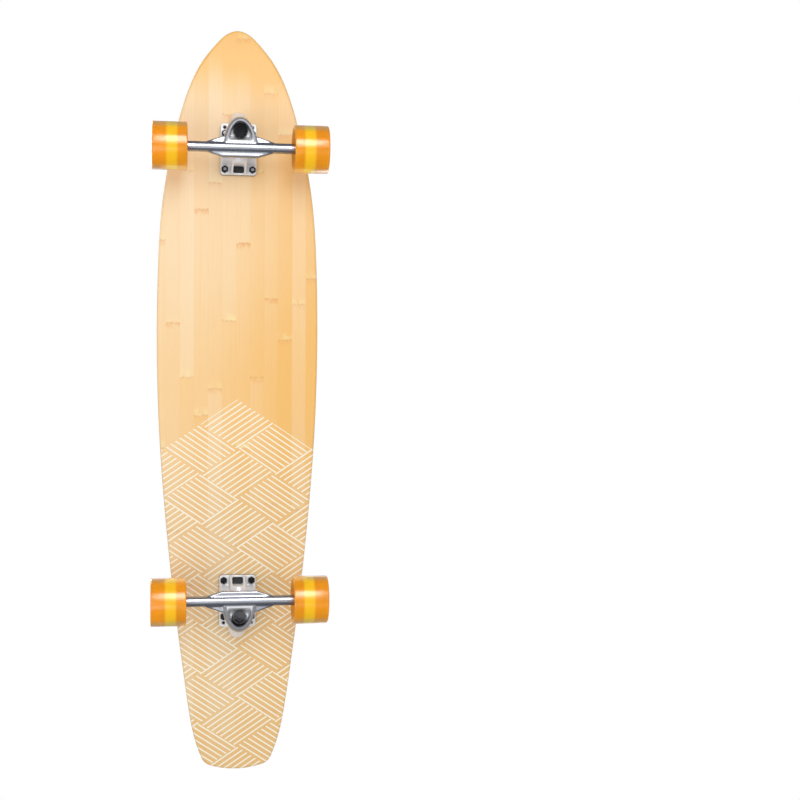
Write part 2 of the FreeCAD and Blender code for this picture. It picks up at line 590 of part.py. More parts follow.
def hanger():
    """Cast hanger: the yoke, the neck up to the axle tube, side wings and the pivot nose."""
    tube = cylinder(TUBE_RADIUS, -TUBE_HALF_LENGTH, TUBE_HALF_LENGTH, Y_AXIS, AXLE_IN_YOKE)
    neck_back = MOUTH + SOCKET_GAP
    tube_back = AXLE_IN_YOKE.x - TUBE_RADIUS
    socket_clear = -(SOCKET_RADIUS + SOCKET_GAP)
    neck_side = [Vector(NECK_FRONT, -NECK_HALF_WIDTH, YOKE_DECK_FACE),
                 Vector(NECK_FRONT, -NECK_HALF_WIDTH, AXLE_IN_YOKE.z),
                 Vector(tube_back, -NECK_HALF_WIDTH, AXLE_IN_YOKE.z),
                 Vector(tube_back, -NECK_HALF_WIDTH, socket_clear),
                 Vector(neck_back, -NECK_HALF_WIDTH, socket_clear),
                 Vector(neck_back, -NECK_HALF_WIDTH, YOKE_DECK_FACE)]
    neck = prism(neck_side, Y_AXIS * (2 * NECK_HALF_WIDTH))
    outboard = AXLE.x + TUBE_RADIUS + WING_OUTBOARD
    inboard = AXLE.x - TUBE_RADIUS - WING_INBOARD
    plan = [(outboard, WING_ROOT), (outboard, -WING_ROOT), (AXLE.x, -WING_SPAN),
            (inboard, -WING_ROOT), (inboard, WING_ROOT), (AXLE.x, WING_SPAN)]
    wing_bottom = AXLE.z - WING_BELOW_AXLE
    wings = prism([Vector(x, y, wing_bottom) for x, y in plan], Z_AXIS * WING_THICKNESS)
    flat_edges = [edge for edge in wings.Edges if edge.BoundBox.ZLength < TINY]
    wings = wings.makeFillet(WING_EDGE_RADIUS, flat_edges)
    wings.Placement = YOKE_FRAME.inverse().multiply(wings.Placement)
    washer_room = Part.makeBox(FAR, 2 * NECK_HALF_WIDTH, FAR,
                               Vector(NECK_FRONT, -NECK_HALF_WIDTH, RIM_BOTTOM - FAR))
    wings = wings.cut(washer_room)
    root = Part.makeCone(NOSE_ROOT_RADIUS, NOSE_RADIUS, AXLE_IN_YOKE.x - MOUTH,
                         Vector(AXLE_IN_YOKE.x, 0, 0), -X_AXIS)
    nose = cylinder(NOSE_RADIUS, -PIVOT_REACH, MOUTH, X_AXIS)
    tip = Part.makeSphere(NOSE_RADIUS, Vector(-PIVOT_REACH, 0, 0))
    body = merged([yoke(), tube, neck, wings, root, nose, tip])
    bore = cylinder(YOKE_BORE_RADIUS, YOKE_FOOT, YOKE_DECK_FACE)
    axle_bore = cylinder(AXLE_RADIUS + SLIP_CLEARANCE, -FAR, FAR, Y_AXIS, AXLE_IN_YOKE)
    return leaned(without(body, [yoke_recess(), bore, axle_bore]))


# Axle hardware in the truck's frame
def axle():
    """Steel axle through the hanger."""
    return cylinder(AXLE_RADIUS, -AXLE_HALF_LENGTH, AXLE_HALF_LENGTH, Y_AXIS, AXLE)


def on_both_sides(make_piece, starts):
    """Group of one piece repeated at each start along both ends of the axle."""
    pieces = []
    for direction in (Y_AXIS, -Y_AXIS):
        for start in starts:
            pieces.append(make_piece(start, direction))
    return Part.makeCompound(pieces)


def speed_washer(start, direction):
    """Thin washer beside a bearing."""
    return ring(SPEED_WASHER_RADIUS, AXLE_RADIUS + SLIP_CLEARANCE, start, start + SPEED_WASHER_THICKNESS,
                direction, AXLE)


def spacer(start, direction):
    """Sleeve that keeps the two inner races of a wheel apart."""
    return ring(SPACER_RADIUS, AXLE_RADIUS + SLIP_CLEARANCE, start, start + SPACER_LENGTH, direction, AXLE)


def inner_race(start, direction):
    """Grooved inner race on the axle."""
    race = ring(INNER_RACE_RADIUS, AXLE_RADIUS + SLIP_CLEARANCE, start, start + BEARING_WIDTH,
                direction, AXLE)
    centre = AXLE + direction * (start + BEARING_WIDTH / 2)
    return race.cut(Part.makeTorus(BALL_CIRCLE_RADIUS, BALL_RADIUS + BALL_CLEARANCE, centre, direction))


def axle_nut(start, direction):
    """Lock nut with its collar facing out."""
    collar_start = start + AXLE_NUT_HEIGHT
    collar_end = collar_start + AXLE_NUT_COLLAR
    nut = hex_bar(AXLE_NUT_FLATS, start, collar_start, direction, AXLE)
    nut = nut.fuse(cylinder(AXLE_NUT_COLLAR_RADIUS, collar_start, collar_end, direction, AXLE))
    return nut.cut(cylinder(AXLE_RADIUS, start, collar_end, direction, AXLE))


# Wheel pieces about the wheel's own centre, the axle along Y
def tyre():
    """Urethane tread moulded round the core, dished at both sides and rounded at the edges."""
    half = WHEEL_WIDTH / 2
    lip = WHEEL_RADIUS - WHEEL_EDGE_RADIUS - WHEEL_LIP
    floor = CORE_BARREL_RADIUS + WHEEL_DISH_FLOOR
    outer = [(CORE_BARREL_RADIUS, CORE_HALF_WIDTH), (floor, CORE_HALF_WIDTH),
             (lip, half), (WHEEL_RADIUS, half)]
    inner = [(radius, -station) for radius, station in reversed(outer)]
    blank = turned(core_rim() + outer + inner)
    widest = blank.BoundBox.XLength - TINY
    circles = [edge for edge in blank.Edges if edge.BoundBox.YLength < TINY]
    tread_edges = [circle for circle in circles if circle.BoundBox.XLength > widest]
    return blank.makeFillet(WHEEL_EDGE_RADIUS, tread_edges)


def core_rim():
    """Profile of the core's buried rim, nearer to the wheel's inboard face."""
    inboard = -CORE_RIM_INBOARD - CORE_RIM_WIDTH / 2
    outboard = CORE_RIM_WIDTH / 2 - CORE_RIM_INBOARD
    return [(CORE_BARREL_RADIUS, inboard), (CORE_RIM_RADIUS, inboard),
            (CORE_RIM_RADIUS, outboard), (CORE_BARREL_RADIUS, outboard)]


def core():
    """Hard core with a bearing seat at each side and a rim buried in the tread."""
    web = SPACER_LENGTH / 2
    seat = BEARING_RADIUS + BORE_CLEARANCE
    inner = [(CORE_BARREL_RADIUS, CORE_HALF_WIDTH), (seat, CORE_HALF_WIDTH),
             (seat, web), (CORE_WEB_BORE, web)]
    outer = [(radius, -station) for radius, station in reversed(inner)]
    return turned(core_rim() + inner + outer)


def bearing_centres():
    """Middle of each of a wheel's two bearings along its axle."""
    offset = (SPACER_LENGTH + BEARING_WIDTH) / 2
    return (Vector(0, -offset, 0), Vector(0, offset, 0))


def outer_races():
    """Grooved outer races of both bearings."""
    half = BEARING_WIDTH / 2
    races = []
    for centre in bearing_centres():
        race = ring(BEARING_RADIUS, OUTER_RACE_BORE, -half, half, Y_AXIS, centre)
        groove = Part.makeTorus(BALL_CIRCLE_RADIUS, BALL_RADIUS + BALL_CLEARANCE, centre, Y_AXIS)
        races.append(race.cut(groove))
    return Part.makeCompound(races)


def bearing_shields():
    """Dust shields pressed into both faces of each outer race."""
    outer_face = BEARING_WIDTH / 2 - SHIELD_INSET
    shields = []
    for centre in bearing_centres():
        for start in (outer_face - SHIELD_THICKNESS, -outer_face):
            end = start + SHIELD_THICKNESS
            shields.append(ring(OUTER_RACE_BORE, INNER_RACE_RADIUS + SHIELD_GAP, start, end, Y_AXIS, centre))
    return Part.makeCompound(shields)


def ball_places():
    """Ball centres of both bearings."""
    places = []
    for centre in bearing_centres():
        for step in range(BALL_COUNT):
            angle = 2 * math.pi * step / BALL_COUNT
            places.append(centre + Vector(math.cos(angle), 0, math.sin(angle)) * BALL_CIRCLE_RADIUS)
    return places


def bearing_balls():
    """Balls of both bearings."""
    return Part.makeCompound([Part.makeSphere(BALL_RADIUS, place) for place in ball_places()])


def ball_cages():
    """Rings that keep the balls evenly spaced, with a round window for each ball."""
    windows = []
    for place in ball_places():
        outward = Vector(place.x, 0, place.z).normalize()
        windows.append(cylinder(BALL_RADIUS + CAGE_CLEARANCE, -CAGE_WALL, CAGE_WALL, outward, place))
    cages = []
    for centre in bearing_centres():
        band = ring(BALL_CIRCLE_RADIUS + CAGE_WALL / 2, BALL_CIRCLE_RADIUS - CAGE_WALL / 2,
                    -CAGE_HALF_WIDTH, CAGE_HALF_WIDTH, Y_AXIS, centre)
        cages.append(without(band, windows))
    return Part.makeCompound(cages)


# Assembly
def truck_pieces():
    """Every piece of one truck in the truck's frame, by name."""
    bearings = (BEARING_NEAR, BEARING_FAR)
    return {
        "riser_pad": riser_pad(),
        "baseplate": baseplate(),
        "pivot_cup": pivot_cup(),
        "kingpin": kingpin(),
        "kingpin_nut": kingpin_nut(),
        "cup_washers": cup_washers(),
        "boardside_bushing": boardside_bushing(),
        "roadside_bushing": roadside_bushing(),
        "hanger": hanger(),
        "axle": axle(),
        "speed_washers": on_both_sides(speed_washer, (TUBE_HALF_LENGTH, OUTER_WASHER)),
        "inner_races": on_both_sides(inner_race, bearings),
        "bearing_spacers": on_both_sides(spacer, (BEARING_NEAR + BEARING_WIDTH,)),
        "axle_nuts": on_both_sides(axle_nut, (AXLE_NUT_START,)),
    }


def wheel_pieces():
    """Every piece of one wheel about its own centre, inboard towards -Y, by name."""
    return {
        "tyre": tyre(),
        "wheel_core": core(),
        "outer_races": outer_races(),
        "bearing_shields": bearing_shields(),
        "bearing_balls": bearing_balls(),
        "ball_cages": ball_cages(),
    }


def assembly():
    """All nodes of the longboard, by node name."""
    nodes = build_deck()
    truck = truck_pieces()
    wheel = wheel_pieces()
    bolts = bolt_places()
    rows = {"front": bolts[:4], "rear": bolts[4:]}
    places = {"front": Placement(Vector(FRONT_CENTRE, 0, PLATE_TOP_Z), Rotation()),
              "rear": Placement(Vector(REAR_CENTRE, 0, PLATE_TOP_Z), Rotation(Z_AXIS, 180))}
    wheel_turns = {"left": Rotation(), "right": Rotation(Z_AXIS, 180)}
    for end, place in places.items():
        for name, shape in truck.items():
            nodes[end + "_" + name] = placed(shape, place)
        nodes[end + "_deck_bolts"] = deck_bolts(rows[end])
        nodes[end + "_deck_nuts"] = deck_nuts(rows[end])
        hub = place.multVec(AXLE)
        for side, turn in wheel_turns.items():
            centre = Placement(hub + turn.multVec(Y_AXIS * WHEEL_CENTRE), turn)
            for name, shape in wheel.items():
                nodes[end + "_" + side + "_" + name] = placed(shape, centre)
    return nodes


def main():
    """Write every node as its own STEP file."""
    os.makedirs("parts", exist_ok=True)
    for name, shape in assembly().items():
        shape.exportStep("parts/" + name + ".step")
        print(name, len(shape.Solids), "solids", round(shape.Volume, 1), "mm3, valid:", shape.isValid())


if __name__ == "__main__":
    main()
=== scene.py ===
"""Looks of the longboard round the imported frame: finishes, cast and moulded pieces, studio and camera."""
import json
import logging
import math
from dataclasses import dataclass
from enum import Enum
from typing import Callable, Sequence, Union

import bmesh
import bpy
from mathutils import Matrix, Vector

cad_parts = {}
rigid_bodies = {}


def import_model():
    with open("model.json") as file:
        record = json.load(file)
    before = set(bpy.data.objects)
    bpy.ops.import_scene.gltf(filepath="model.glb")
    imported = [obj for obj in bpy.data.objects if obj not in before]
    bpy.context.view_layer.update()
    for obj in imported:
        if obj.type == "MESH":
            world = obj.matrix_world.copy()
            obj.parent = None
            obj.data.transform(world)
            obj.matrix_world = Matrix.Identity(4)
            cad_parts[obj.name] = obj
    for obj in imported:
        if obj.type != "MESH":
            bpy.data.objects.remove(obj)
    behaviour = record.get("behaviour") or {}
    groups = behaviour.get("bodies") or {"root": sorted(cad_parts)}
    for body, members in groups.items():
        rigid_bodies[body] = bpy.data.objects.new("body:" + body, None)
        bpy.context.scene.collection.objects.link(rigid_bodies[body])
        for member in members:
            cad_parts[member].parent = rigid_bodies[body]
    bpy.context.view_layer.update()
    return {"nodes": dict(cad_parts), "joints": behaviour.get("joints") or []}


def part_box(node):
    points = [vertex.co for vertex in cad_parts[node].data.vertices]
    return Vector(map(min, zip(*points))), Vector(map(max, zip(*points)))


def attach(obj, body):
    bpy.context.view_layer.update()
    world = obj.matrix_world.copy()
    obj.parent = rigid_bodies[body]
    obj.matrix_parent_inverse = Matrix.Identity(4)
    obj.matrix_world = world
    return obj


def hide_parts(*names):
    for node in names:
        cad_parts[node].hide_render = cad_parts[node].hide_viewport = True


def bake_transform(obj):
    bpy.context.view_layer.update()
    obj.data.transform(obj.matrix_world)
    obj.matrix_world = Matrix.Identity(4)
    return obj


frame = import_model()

LOG = logging.getLogger("longboard")
MM = 0.001
SQUARE_ON = 0.99
WHITE = (1.0, 1.0, 1.0)

Colour = tuple[float, float, float]
Factors = tuple[float, float, float]
Range = tuple[float, float]
Span = tuple[float, float, float, float]
Element = Union[bmesh.types.BMEdge, bmesh.types.BMFace]
Material = bpy.types.Material
Node = bpy.types.Node
Piece = bpy.types.Object
Socket = bpy.types.NodeSocket
Tree = bpy.types.NodeTree
Source = Union[Socket, float, Sequence[float]]


def srgb(red: int, green: int, blue: int) -> Colour:
    """Linear colour from 8-bit screen values."""
    def channel(value: int) -> float:
        """One channel, screen to linear."""
        share = value / 255
        return share / 12.92 if share <= 0.04045 else ((share + 0.055) / 1.055) ** 2.4
    return channel(red), channel(green), channel(blue)


class End(Enum):
    """Which truck."""
    FRONT = "front"
    REAR = "rear"


class Side(Enum):
    """Which wheel of a truck."""
    LEFT = "left"
    RIGHT = "right"


class Part(Enum):
    """What is selected on a piece that is open for editing."""
    VERT = "verts"
    EDGE = "edges"
    FACE = "faces"


class Graph:
    """Adds nodes to a shader tree and joins them."""

    def __init__(self, tree: Tree) -> None:
        """Keep the tree that is built."""
        self.tree = tree

    def node(self, kind: str, **settings: object) -> Node:
        """Add a node.

        Args:
            kind: its type.
            settings: its properties.

        Returns:
            The node.
        """
        made = self.tree.nodes.new(kind)
        for key, value in settings.items():
            setattr(made, key, value)
        return made

    def feed(self, socket: Socket, source: Source) -> None:
        """Link a socket to another one, or set its constant.

        Args:
            socket: the input.
            source: a socket, number, vector or colour.
        """
        if isinstance(source, bpy.types.NodeSocket):
            self.tree.links.new(source, socket)
        elif socket.type == "RGBA":
            socket.default_value = (*source, 1.0)
        else:
            socket.default_value = source

    def math(self, operation: str, *sources: Source) -> Socket:
        """Arithmetic on values.

        Args:
            operation: the Math node's operation.
            sources: up to three values.

        Returns:
            The answer.
        """
        made = self.node("ShaderNodeMath", operation=operation)
        for socket, source in zip(made.inputs, sources):
            self.feed(socket, source)
        return made.outputs[0]

    def plus(self, first: Source, second: Source) -> Socket:
        """Sum of two values."""
        return self.math("ADD", first, second)

    def minus(self, first: Source, second: Source) -> Socket:
        """First value less the second."""
        return self.math("SUBTRACT", first, second)

    def times(self, first: Source, second: Source) -> Socket:
        """Product of two values."""
        return self.math("MULTIPLY", first, second)

    def over(self, first: Source, second: Source) -> Socket:
        """First value divided by the second."""
        return self.math("DIVIDE", first, second)

    def weighted(self, value: Source, weight: Source, base: Source) -> Socket:
        """A base plus a value times its weight."""
        return self.math("MULTIPLY_ADD", value, weight, base)

    def off_middle(self, value: Source) -> Socket:
        """How far a value is from the middle between its two whole numbers."""
        return self.math("ABSOLUTE", self.minus(self.math("FRACT", value), 0.5))

    def mix(self, share: Source, first: Source, second: Source) -> Socket:
        """Colour between two others.

        Args:
            share: share of the second one, from 0 to 1.
            first: colour at 0.
            second: colour at 1.

        Returns:
            The colour.
        """
        made = self.node("ShaderNodeMix", data_type="RGBA")
        for name, source in (("Factor_Float", share), ("A_Color", first), ("B_Color", second)):
            socket = next(item for item in made.inputs if item.identifier == name)
            self.feed(socket, source)
        return next(item for item in made.outputs if item.identifier == "Result_Color")

    def spread(self, value: Source, low: float, high: float, to_low: float = 0.0,
               to_high: float = 1.0) -> Socket:
        """Value carried smoothly from one range into another and held at its ends.

        Args:
            value: the value.
            low: start of its range.
            high: end of its range.
            to_low: answer at the start.
            to_high: answer at the end.

        Returns:
            The answer.
        """
        made = self.node("ShaderNodeMapRange", interpolation_type="SMOOTHSTEP")
        for name, source in (("Value", value), ("From Min", low), ("From Max", high),
                             ("To Min", to_low), ("To Max", to_high)):
            self.feed(made.inputs[name], source)
        return made.outputs["Result"]

    def fade(self, value: Source, low: float, high: float) -> Socket:
        """Share that falls smoothly from 1 to 0 over a range."""
        return self.spread(value, low, high, 1.0, 0.0)

    def scaled(self, vector: Source, factors: Factors) -> Socket:
        """Vector multiplied part by part.

        Args:
            vector: the vector.
            factors: one factor for each part.

        Returns:
            The answer.
        """
        made = self.node("ShaderNodeVectorMath", operation="MULTIPLY")
        self.feed(made.inputs[0], vector)
        self.feed(made.inputs[1], factors)
        return made.outputs[0]

    def noise(self, vector: Source, scale: Source = 1.0, detail: float = 2.0,
              roughness: float = 0.5) -> Socket:
        """Soft noise.

        Args:
            vector: where it is read.
            scale: cells per unit of the vector.
            detail: how many finer layers are added.
            roughness: strength of the finer layers.

        Returns:
            A value between 0 and 1.
        """
        made = self.node("ShaderNodeTexNoise")
        for name, source in (("Vector", vector), ("Scale", scale), ("Detail", detail),
                             ("Roughness", roughness)):
            self.feed(made.inputs[name], source)
        return made.outputs["Fac"]

    def chance(self, vector: Source) -> Socket:
        """Even random value that is the same for equal vectors.

        Args:
            vector: the vector.

        Returns:
            A value between 0 and 1.
        """
        made = self.node("ShaderNodeTexWhiteNoise", noise_dimensions="3D")
        self.feed(made.inputs["Vector"], vector)
        return made.outputs["Value"]

    def parts(self, vector: Source) -> tuple[Socket, ...]:
        """The three parts of a vector.

        Args:
            vector: the vector.

        Returns:
            Its parts along X, Y and Z.
        """
        made = self.node("ShaderNodeSeparateXYZ")
        self.feed(made.inputs[0], vector)
        return tuple(made.outputs)

    def joined(self, x: Source, y: Source, z: Source = 0.0) -> Socket:
        """A vector from its parts.

        Args:
            x: part along X.
            y: part along Y.
            z: part along Z.

        Returns:
            The vector.
        """
        made = self.node("ShaderNodeCombineXYZ")
        for socket, source in zip(made.inputs, (x, y, z)):
            self.feed(socket, source)
        return made.outputs[0]

    def ramp(self, share: Source, stops: Sequence[tuple[float, Colour]]) -> Socket:
        """Colour read off a run of stops.

        Args:
            share: place on the run, from 0 to 1.
            stops: place and colour of each stop.

        Returns:
            The colour.
        """
        made = self.node("ShaderNodeValToRGB")
        elements = made.color_ramp.elements
        while len(elements) < len(stops):
            elements.new(1.0)
        for element, (place, colour) in zip(elements, stops):
            element.position = place
            element.color = (*colour, 1.0)
        self.feed(made.inputs[0], share)
        return made.outputs[0]

    def place(self) -> Socket:
        """Point on the surface in the object's own coordinates, in metres."""
        return self.node("ShaderNodeTexCoord").outputs["Object"]

    def use(self, group: Tree, **inputs: Source) -> Node:
        """Place a node group.

        Args:
            group: the group.
            inputs: what feeds its named inputs.

        Returns:
            The group's node.
        """
        made = self.node("ShaderNodeGroup", node_tree=group)
        for name, source in inputs.items():
            self.feed(made.inputs[name], source)
        return made


def new_group(name: str, inputs: Sequence[tuple[str, str]],
              outputs: Sequence[str]) -> tuple[Graph, dict, dict]:
    """Empty node group with named sockets.

    Args:
        name: the group's name.
        inputs: name and kind of each input, a kind being Vector or Float.
        outputs: names of the value outputs.

    Returns:
        The group's graph, its input sockets by name and its output sockets by name.
    """
    tree = bpy.data.node_groups.new(name, "ShaderNodeTree")
    for socket, kind in inputs:
        tree.interface.new_socket(name=socket, in_out="INPUT", socket_type="NodeSocket" + kind)
    for socket in outputs:
        tree.interface.new_socket(name=socket, in_out="OUTPUT", socket_type="NodeSocketFloat")
    graph = Graph(tree)
    start = graph.node("NodeGroupInput")
    end = graph.node("NodeGroupOutput")
    return graph, {s.name: s for s in start.outputs if s.name}, {s.name: s for s in end.inputs if s.name}


@dataclass(frozen=True)
class WearPattern:
    """Fine grain, broad smudges and short scratches, as a node group with a place and a scale."""
    smudge_scale: float = 0.06
    scratch_scale: float = 1.6
    scratch_stretch: Factors = (1.0, 0.05, 1.0)
    scratch_range: Range = (0.66, 0.72)
    patch_scale: float = 0.15
    patch_range: Range = (0.5, 0.65)

    def group(self) -> Tree:
        """Build the group.

        Returns:
            The group, which puts out Grain, Smudge and Scratch.
        """
        graph, given, wanted = new_group("surface_wear", [("Vector", "Vector"), ("Scale", "Float")],
                                         ["Grain", "Smudge", "Scratch"])
        point = given["Vector"]
        scale = given["Scale"]
        grain = graph.noise(point, scale, detail=4.0, roughness=0.6)
        smudge = graph.noise(point, graph.times(scale, self.smudge_scale), detail=3.0, roughness=0.55)
        slim = graph.scaled(point, self.scratch_stretch)
        lines = graph.noise(slim, graph.times(scale, self.scratch_scale), detail=1.0)
        patches = graph.noise(point, graph.times(scale, self.patch_scale), detail=1.0)
        scratch = graph.times(graph.spread(lines, *self.scratch_range),
                              graph.spread(patches, *self.patch_range))
        for name, socket in (("Grain", grain), ("Smudge", smudge), ("Scratch", scratch)):
            graph.feed(wanted[name], socket)
        return graph.tree


@dataclass(frozen=True)
class BambooFigure:
    """Strips laid side by side along X, their fibre and their knuckles, as a node group."""
    wander: float = 0.25
    wander_scale: Factors = (2.0, 0.0, 0.0)
    seam_range: Range = (0.44, 0.5)
    strip_shift: float = 9.0
    fibre_scale: Factors = (16.0, 2400.0, 0.0)
    streak_scale: Factors = (2.2, 420.0, 0.0)
    strip_share: float = 0.5
    length_share: float = 0.5
    ragged_scale: float = 380.0
    ragged_range: Range = (0.35, 0.7)
    ragged_reach: float = 1.6 * MM
    scar_reach: Range = (0.3 * MM, 1.8 * MM)
    dash_scale: Factors = (60.0, 700.0, 0.0)
    dash_range: Range = (0.35, 0.65)
    patch_scale: Factors = (70.0, 110.0, 0.0)
    cloud_reach: Range = (-11.0 * MM, -1.0 * MM)
    cloud_patches: Range = (0.3, 0.6)
    bloom_reach: Range = (3.0 * MM, 16.0 * MM)
    bloom_patches: Range = (0.35, 0.6)
    knuckle_draw: float = 4.0

    def group(self) -> Tree:
        """Build the group.

        Returns:
            The group, which puts out the tone of each strip's lengths, the seams, fibre and streaks, and
            at each knuckle a scar with an orange cloud before it or a pale bloom after it.
        """
        inputs = [("Vector", "Vector"), ("Strip Width", "Float"), ("Knuckle Pitch", "Float")]
        outputs = ["Tone", "Seam", "Fibre", "Streak", "Scar", "Cloud", "Bloom"]
        graph, given, wanted = new_group("bamboo_figure", inputs, outputs)
        point = given["Vector"]
        pitch = given["Knuckle Pitch"]
        x, y, z = graph.parts(point)
        wander = graph.noise(graph.scaled(point, self.wander_scale))
        across = graph.weighted(wander, self.wander, graph.over(y, given["Strip Width"]))
        strip = graph.math("FLOOR", across)
        seam = graph.spread(graph.off_middle(across), *self.seam_range)
        lot = graph.chance(graph.joined(strip, 0.0))
        shifted = graph.weighted(lot, self.strip_shift, x)
        drawn_out = graph.joined(shifted, y)
        fibre = graph.noise(graph.scaled(drawn_out, self.fibre_scale))
        streak = graph.noise(graph.scaled(drawn_out, self.streak_scale), detail=3.0)
        along = graph.over(shifted, pitch)
        length_lot = graph.chance(graph.joined(strip, graph.math("ROUND", along)))
        tone = graph.weighted(length_lot, self.length_share, graph.times(lot, self.strip_share))
        past = graph.times(graph.minus(graph.math("FRACT", along), 0.5), pitch)
        ragged = graph.noise(graph.joined(0.0, graph.times(y, self.ragged_scale), strip), detail=3.0)
        jag = graph.spread(ragged, *self.ragged_range, -self.ragged_reach, self.ragged_reach)
        past = graph.plus(past, jag)
        near = graph.fade(graph.math("ABSOLUTE", past), *self.scar_reach)
        dashes = graph.noise(graph.scaled(point, self.dash_scale))
        scar = graph.times(near, graph.spread(dashes, *self.dash_range))
        patches = graph.noise(graph.scaled(point, self.patch_scale), detail=3.0)
        before = graph.times(graph.spread(past, *self.cloud_reach), graph.math("LESS_THAN", past, 0.0))
        after = graph.times(graph.fade(past, *self.bloom_reach), graph.math("GREATER_THAN", past, 0.0))
        fate = graph.chance(graph.joined(strip, graph.math("FLOOR", along), self.knuckle_draw))
        cloud = graph.times(graph.times(before, graph.spread(patches, *self.cloud_patches)), fate)
        bloom = graph.times(graph.times(after, graph.spread(patches, *self.bloom_patches)),
                            graph.minus(1.0, fate))
        for name, socket in zip(outputs, (tone, seam, fibre, streak, scar, cloud, bloom)):
            graph.feed(wanted[name], socket)
        return graph.tree


WEAR = WearPattern().group()
BAMBOO = BambooFigure().group()


def new_material(name: str) -> tuple[Material, Graph, Node]:
    """Empty material with its Principled shader.

    Args:
        name: the material's name.

    Returns:
        The material, its graph and its Principled node.
    """
    material = bpy.data.materials.new(name)
    material.use_nodes = True
    graph = Graph(material.node_tree)
    return material, graph, material.node_tree.nodes["Principled BSDF"]


def set_plain(node: Node, **values: float) -> None:
    """Set a node's plain numbers by their names, with _ for each space in a name."""
    for name, value in values.items():
        node.inputs[name.replace("_", " ")].default_value = value


def add_bump(graph: Graph, shader: Node, height: Source, strength: float, distance: float) -> None:
    """Raise a shader's normal by a height.

    Args:
        graph: the material's graph.
        shader: its Principled node.
        height: height between 0 and 1.
        strength: share of the bump that shows.
        distance: height of 1 in metres.
    """
    bump = graph.node("ShaderNodeBump")
    set_plain(bump, Strength=strength, Distance=distance)
    graph.feed(bump.inputs["Height"], height)
    graph.feed(shader.inputs["Normal"], bump.outputs["Normal"])


def let_through(material: Material, graph: Graph, shader: Node, share: Source, tint: Colour) -> None:
    """Let some rays pass straight through a material.

    Args:
        material: the material.
        graph: its graph.
        shader: its Principled node.
        share: 1 for the rays that pass.
        tint: colour that they take on.
    """
    clear = graph.node("ShaderNodeBsdfTransparent")
    graph.feed(clear.inputs["Color"], tint)
    both = graph.node("ShaderNodeMixShader")
    for socket, source in zip(both.inputs, (share, shader.outputs[0], clear.outputs[0])):
        graph.feed(socket, source)
    graph.feed(material.node_tree.nodes["Material Output"].inputs["Surface"], both.outputs[0])


@dataclass(frozen=True)
class WornMetal:
    """What the metal finishes share: fine grain, smudges and light scratches."""
    name: str
    colour: Colour
    shade: Colour
    roughness: float
    metallic: float = 1.0
    grain_scale: float = 900.0
    grain_height: float = 0.03 * MM
    grain_strength: float = 0.5
    scratch_height: float = -0.5
    smudge_range: Range = (0.35, 0.7)
    dull_range: Range = (0.3, 0.75)
    dull_swing: Range = (0.85, 1.2)

    def worn(self, graph: Graph, shader: Node, point: Socket) -> tuple[Socket, Socket, Socket]:
        """Give a shader the grain as bump, and work out how the wear changes colour and roughness.

        Args:
            graph: the material's graph.
            shader: its Principled node.
            point: the surface point.

        Returns:
            The colour, the roughness and the mask of scratches.
        """
        wear = graph.use(WEAR, Vector=point, Scale=self.grain_scale)
        smudge = wear.outputs["Smudge"]
        scratch = wear.outputs["Scratch"]
        tint = graph.mix(graph.spread(smudge, *self.smudge_range), self.colour, self.shade)
        dulled = graph.spread(smudge, *self.dull_range, *(self.roughness * part for part in self.dull_swing))
        height = graph.weighted(scratch, self.scratch_height, wear.outputs["Grain"])
        add_bump(graph, shader, height, self.grain_strength, self.grain_height)
        return tint, dulled, scratch


@dataclass(frozen=True)
class MetalFinish(WornMetal):
    """Metal or coated metal, with another colour below a height if one is given."""
    scratch_gain: float = 0.12
    colour_below: Colour | None = None
    below_height: float = 100.0 * MM
    below_blur: float = 1.0 * MM

    def make(self) -> Material:
        """Build the material."""
        material, graph, shader = new_material(self.name)
        point = graph.place()
        tint, dulled, scratch = self.worn(graph, shader, point)
        # Another colour below a height: on the bolts, their ends under the nuts come out darker.
        if self.colour_below is not None:
            x, y, z = graph.parts(point)
            above = graph.spread(z, self.below_height - self.below_blur, self.below_height + self.below_blur)
            tint = graph.mix(above, self.colour_below, tint)
        graph.feed(shader.inputs["Base Color"], tint)
        graph.feed(shader.inputs["Roughness"], graph.weighted(scratch, self.scratch_gain, dulled))
        set_plain(shader, Metallic=self.metallic)
        return material


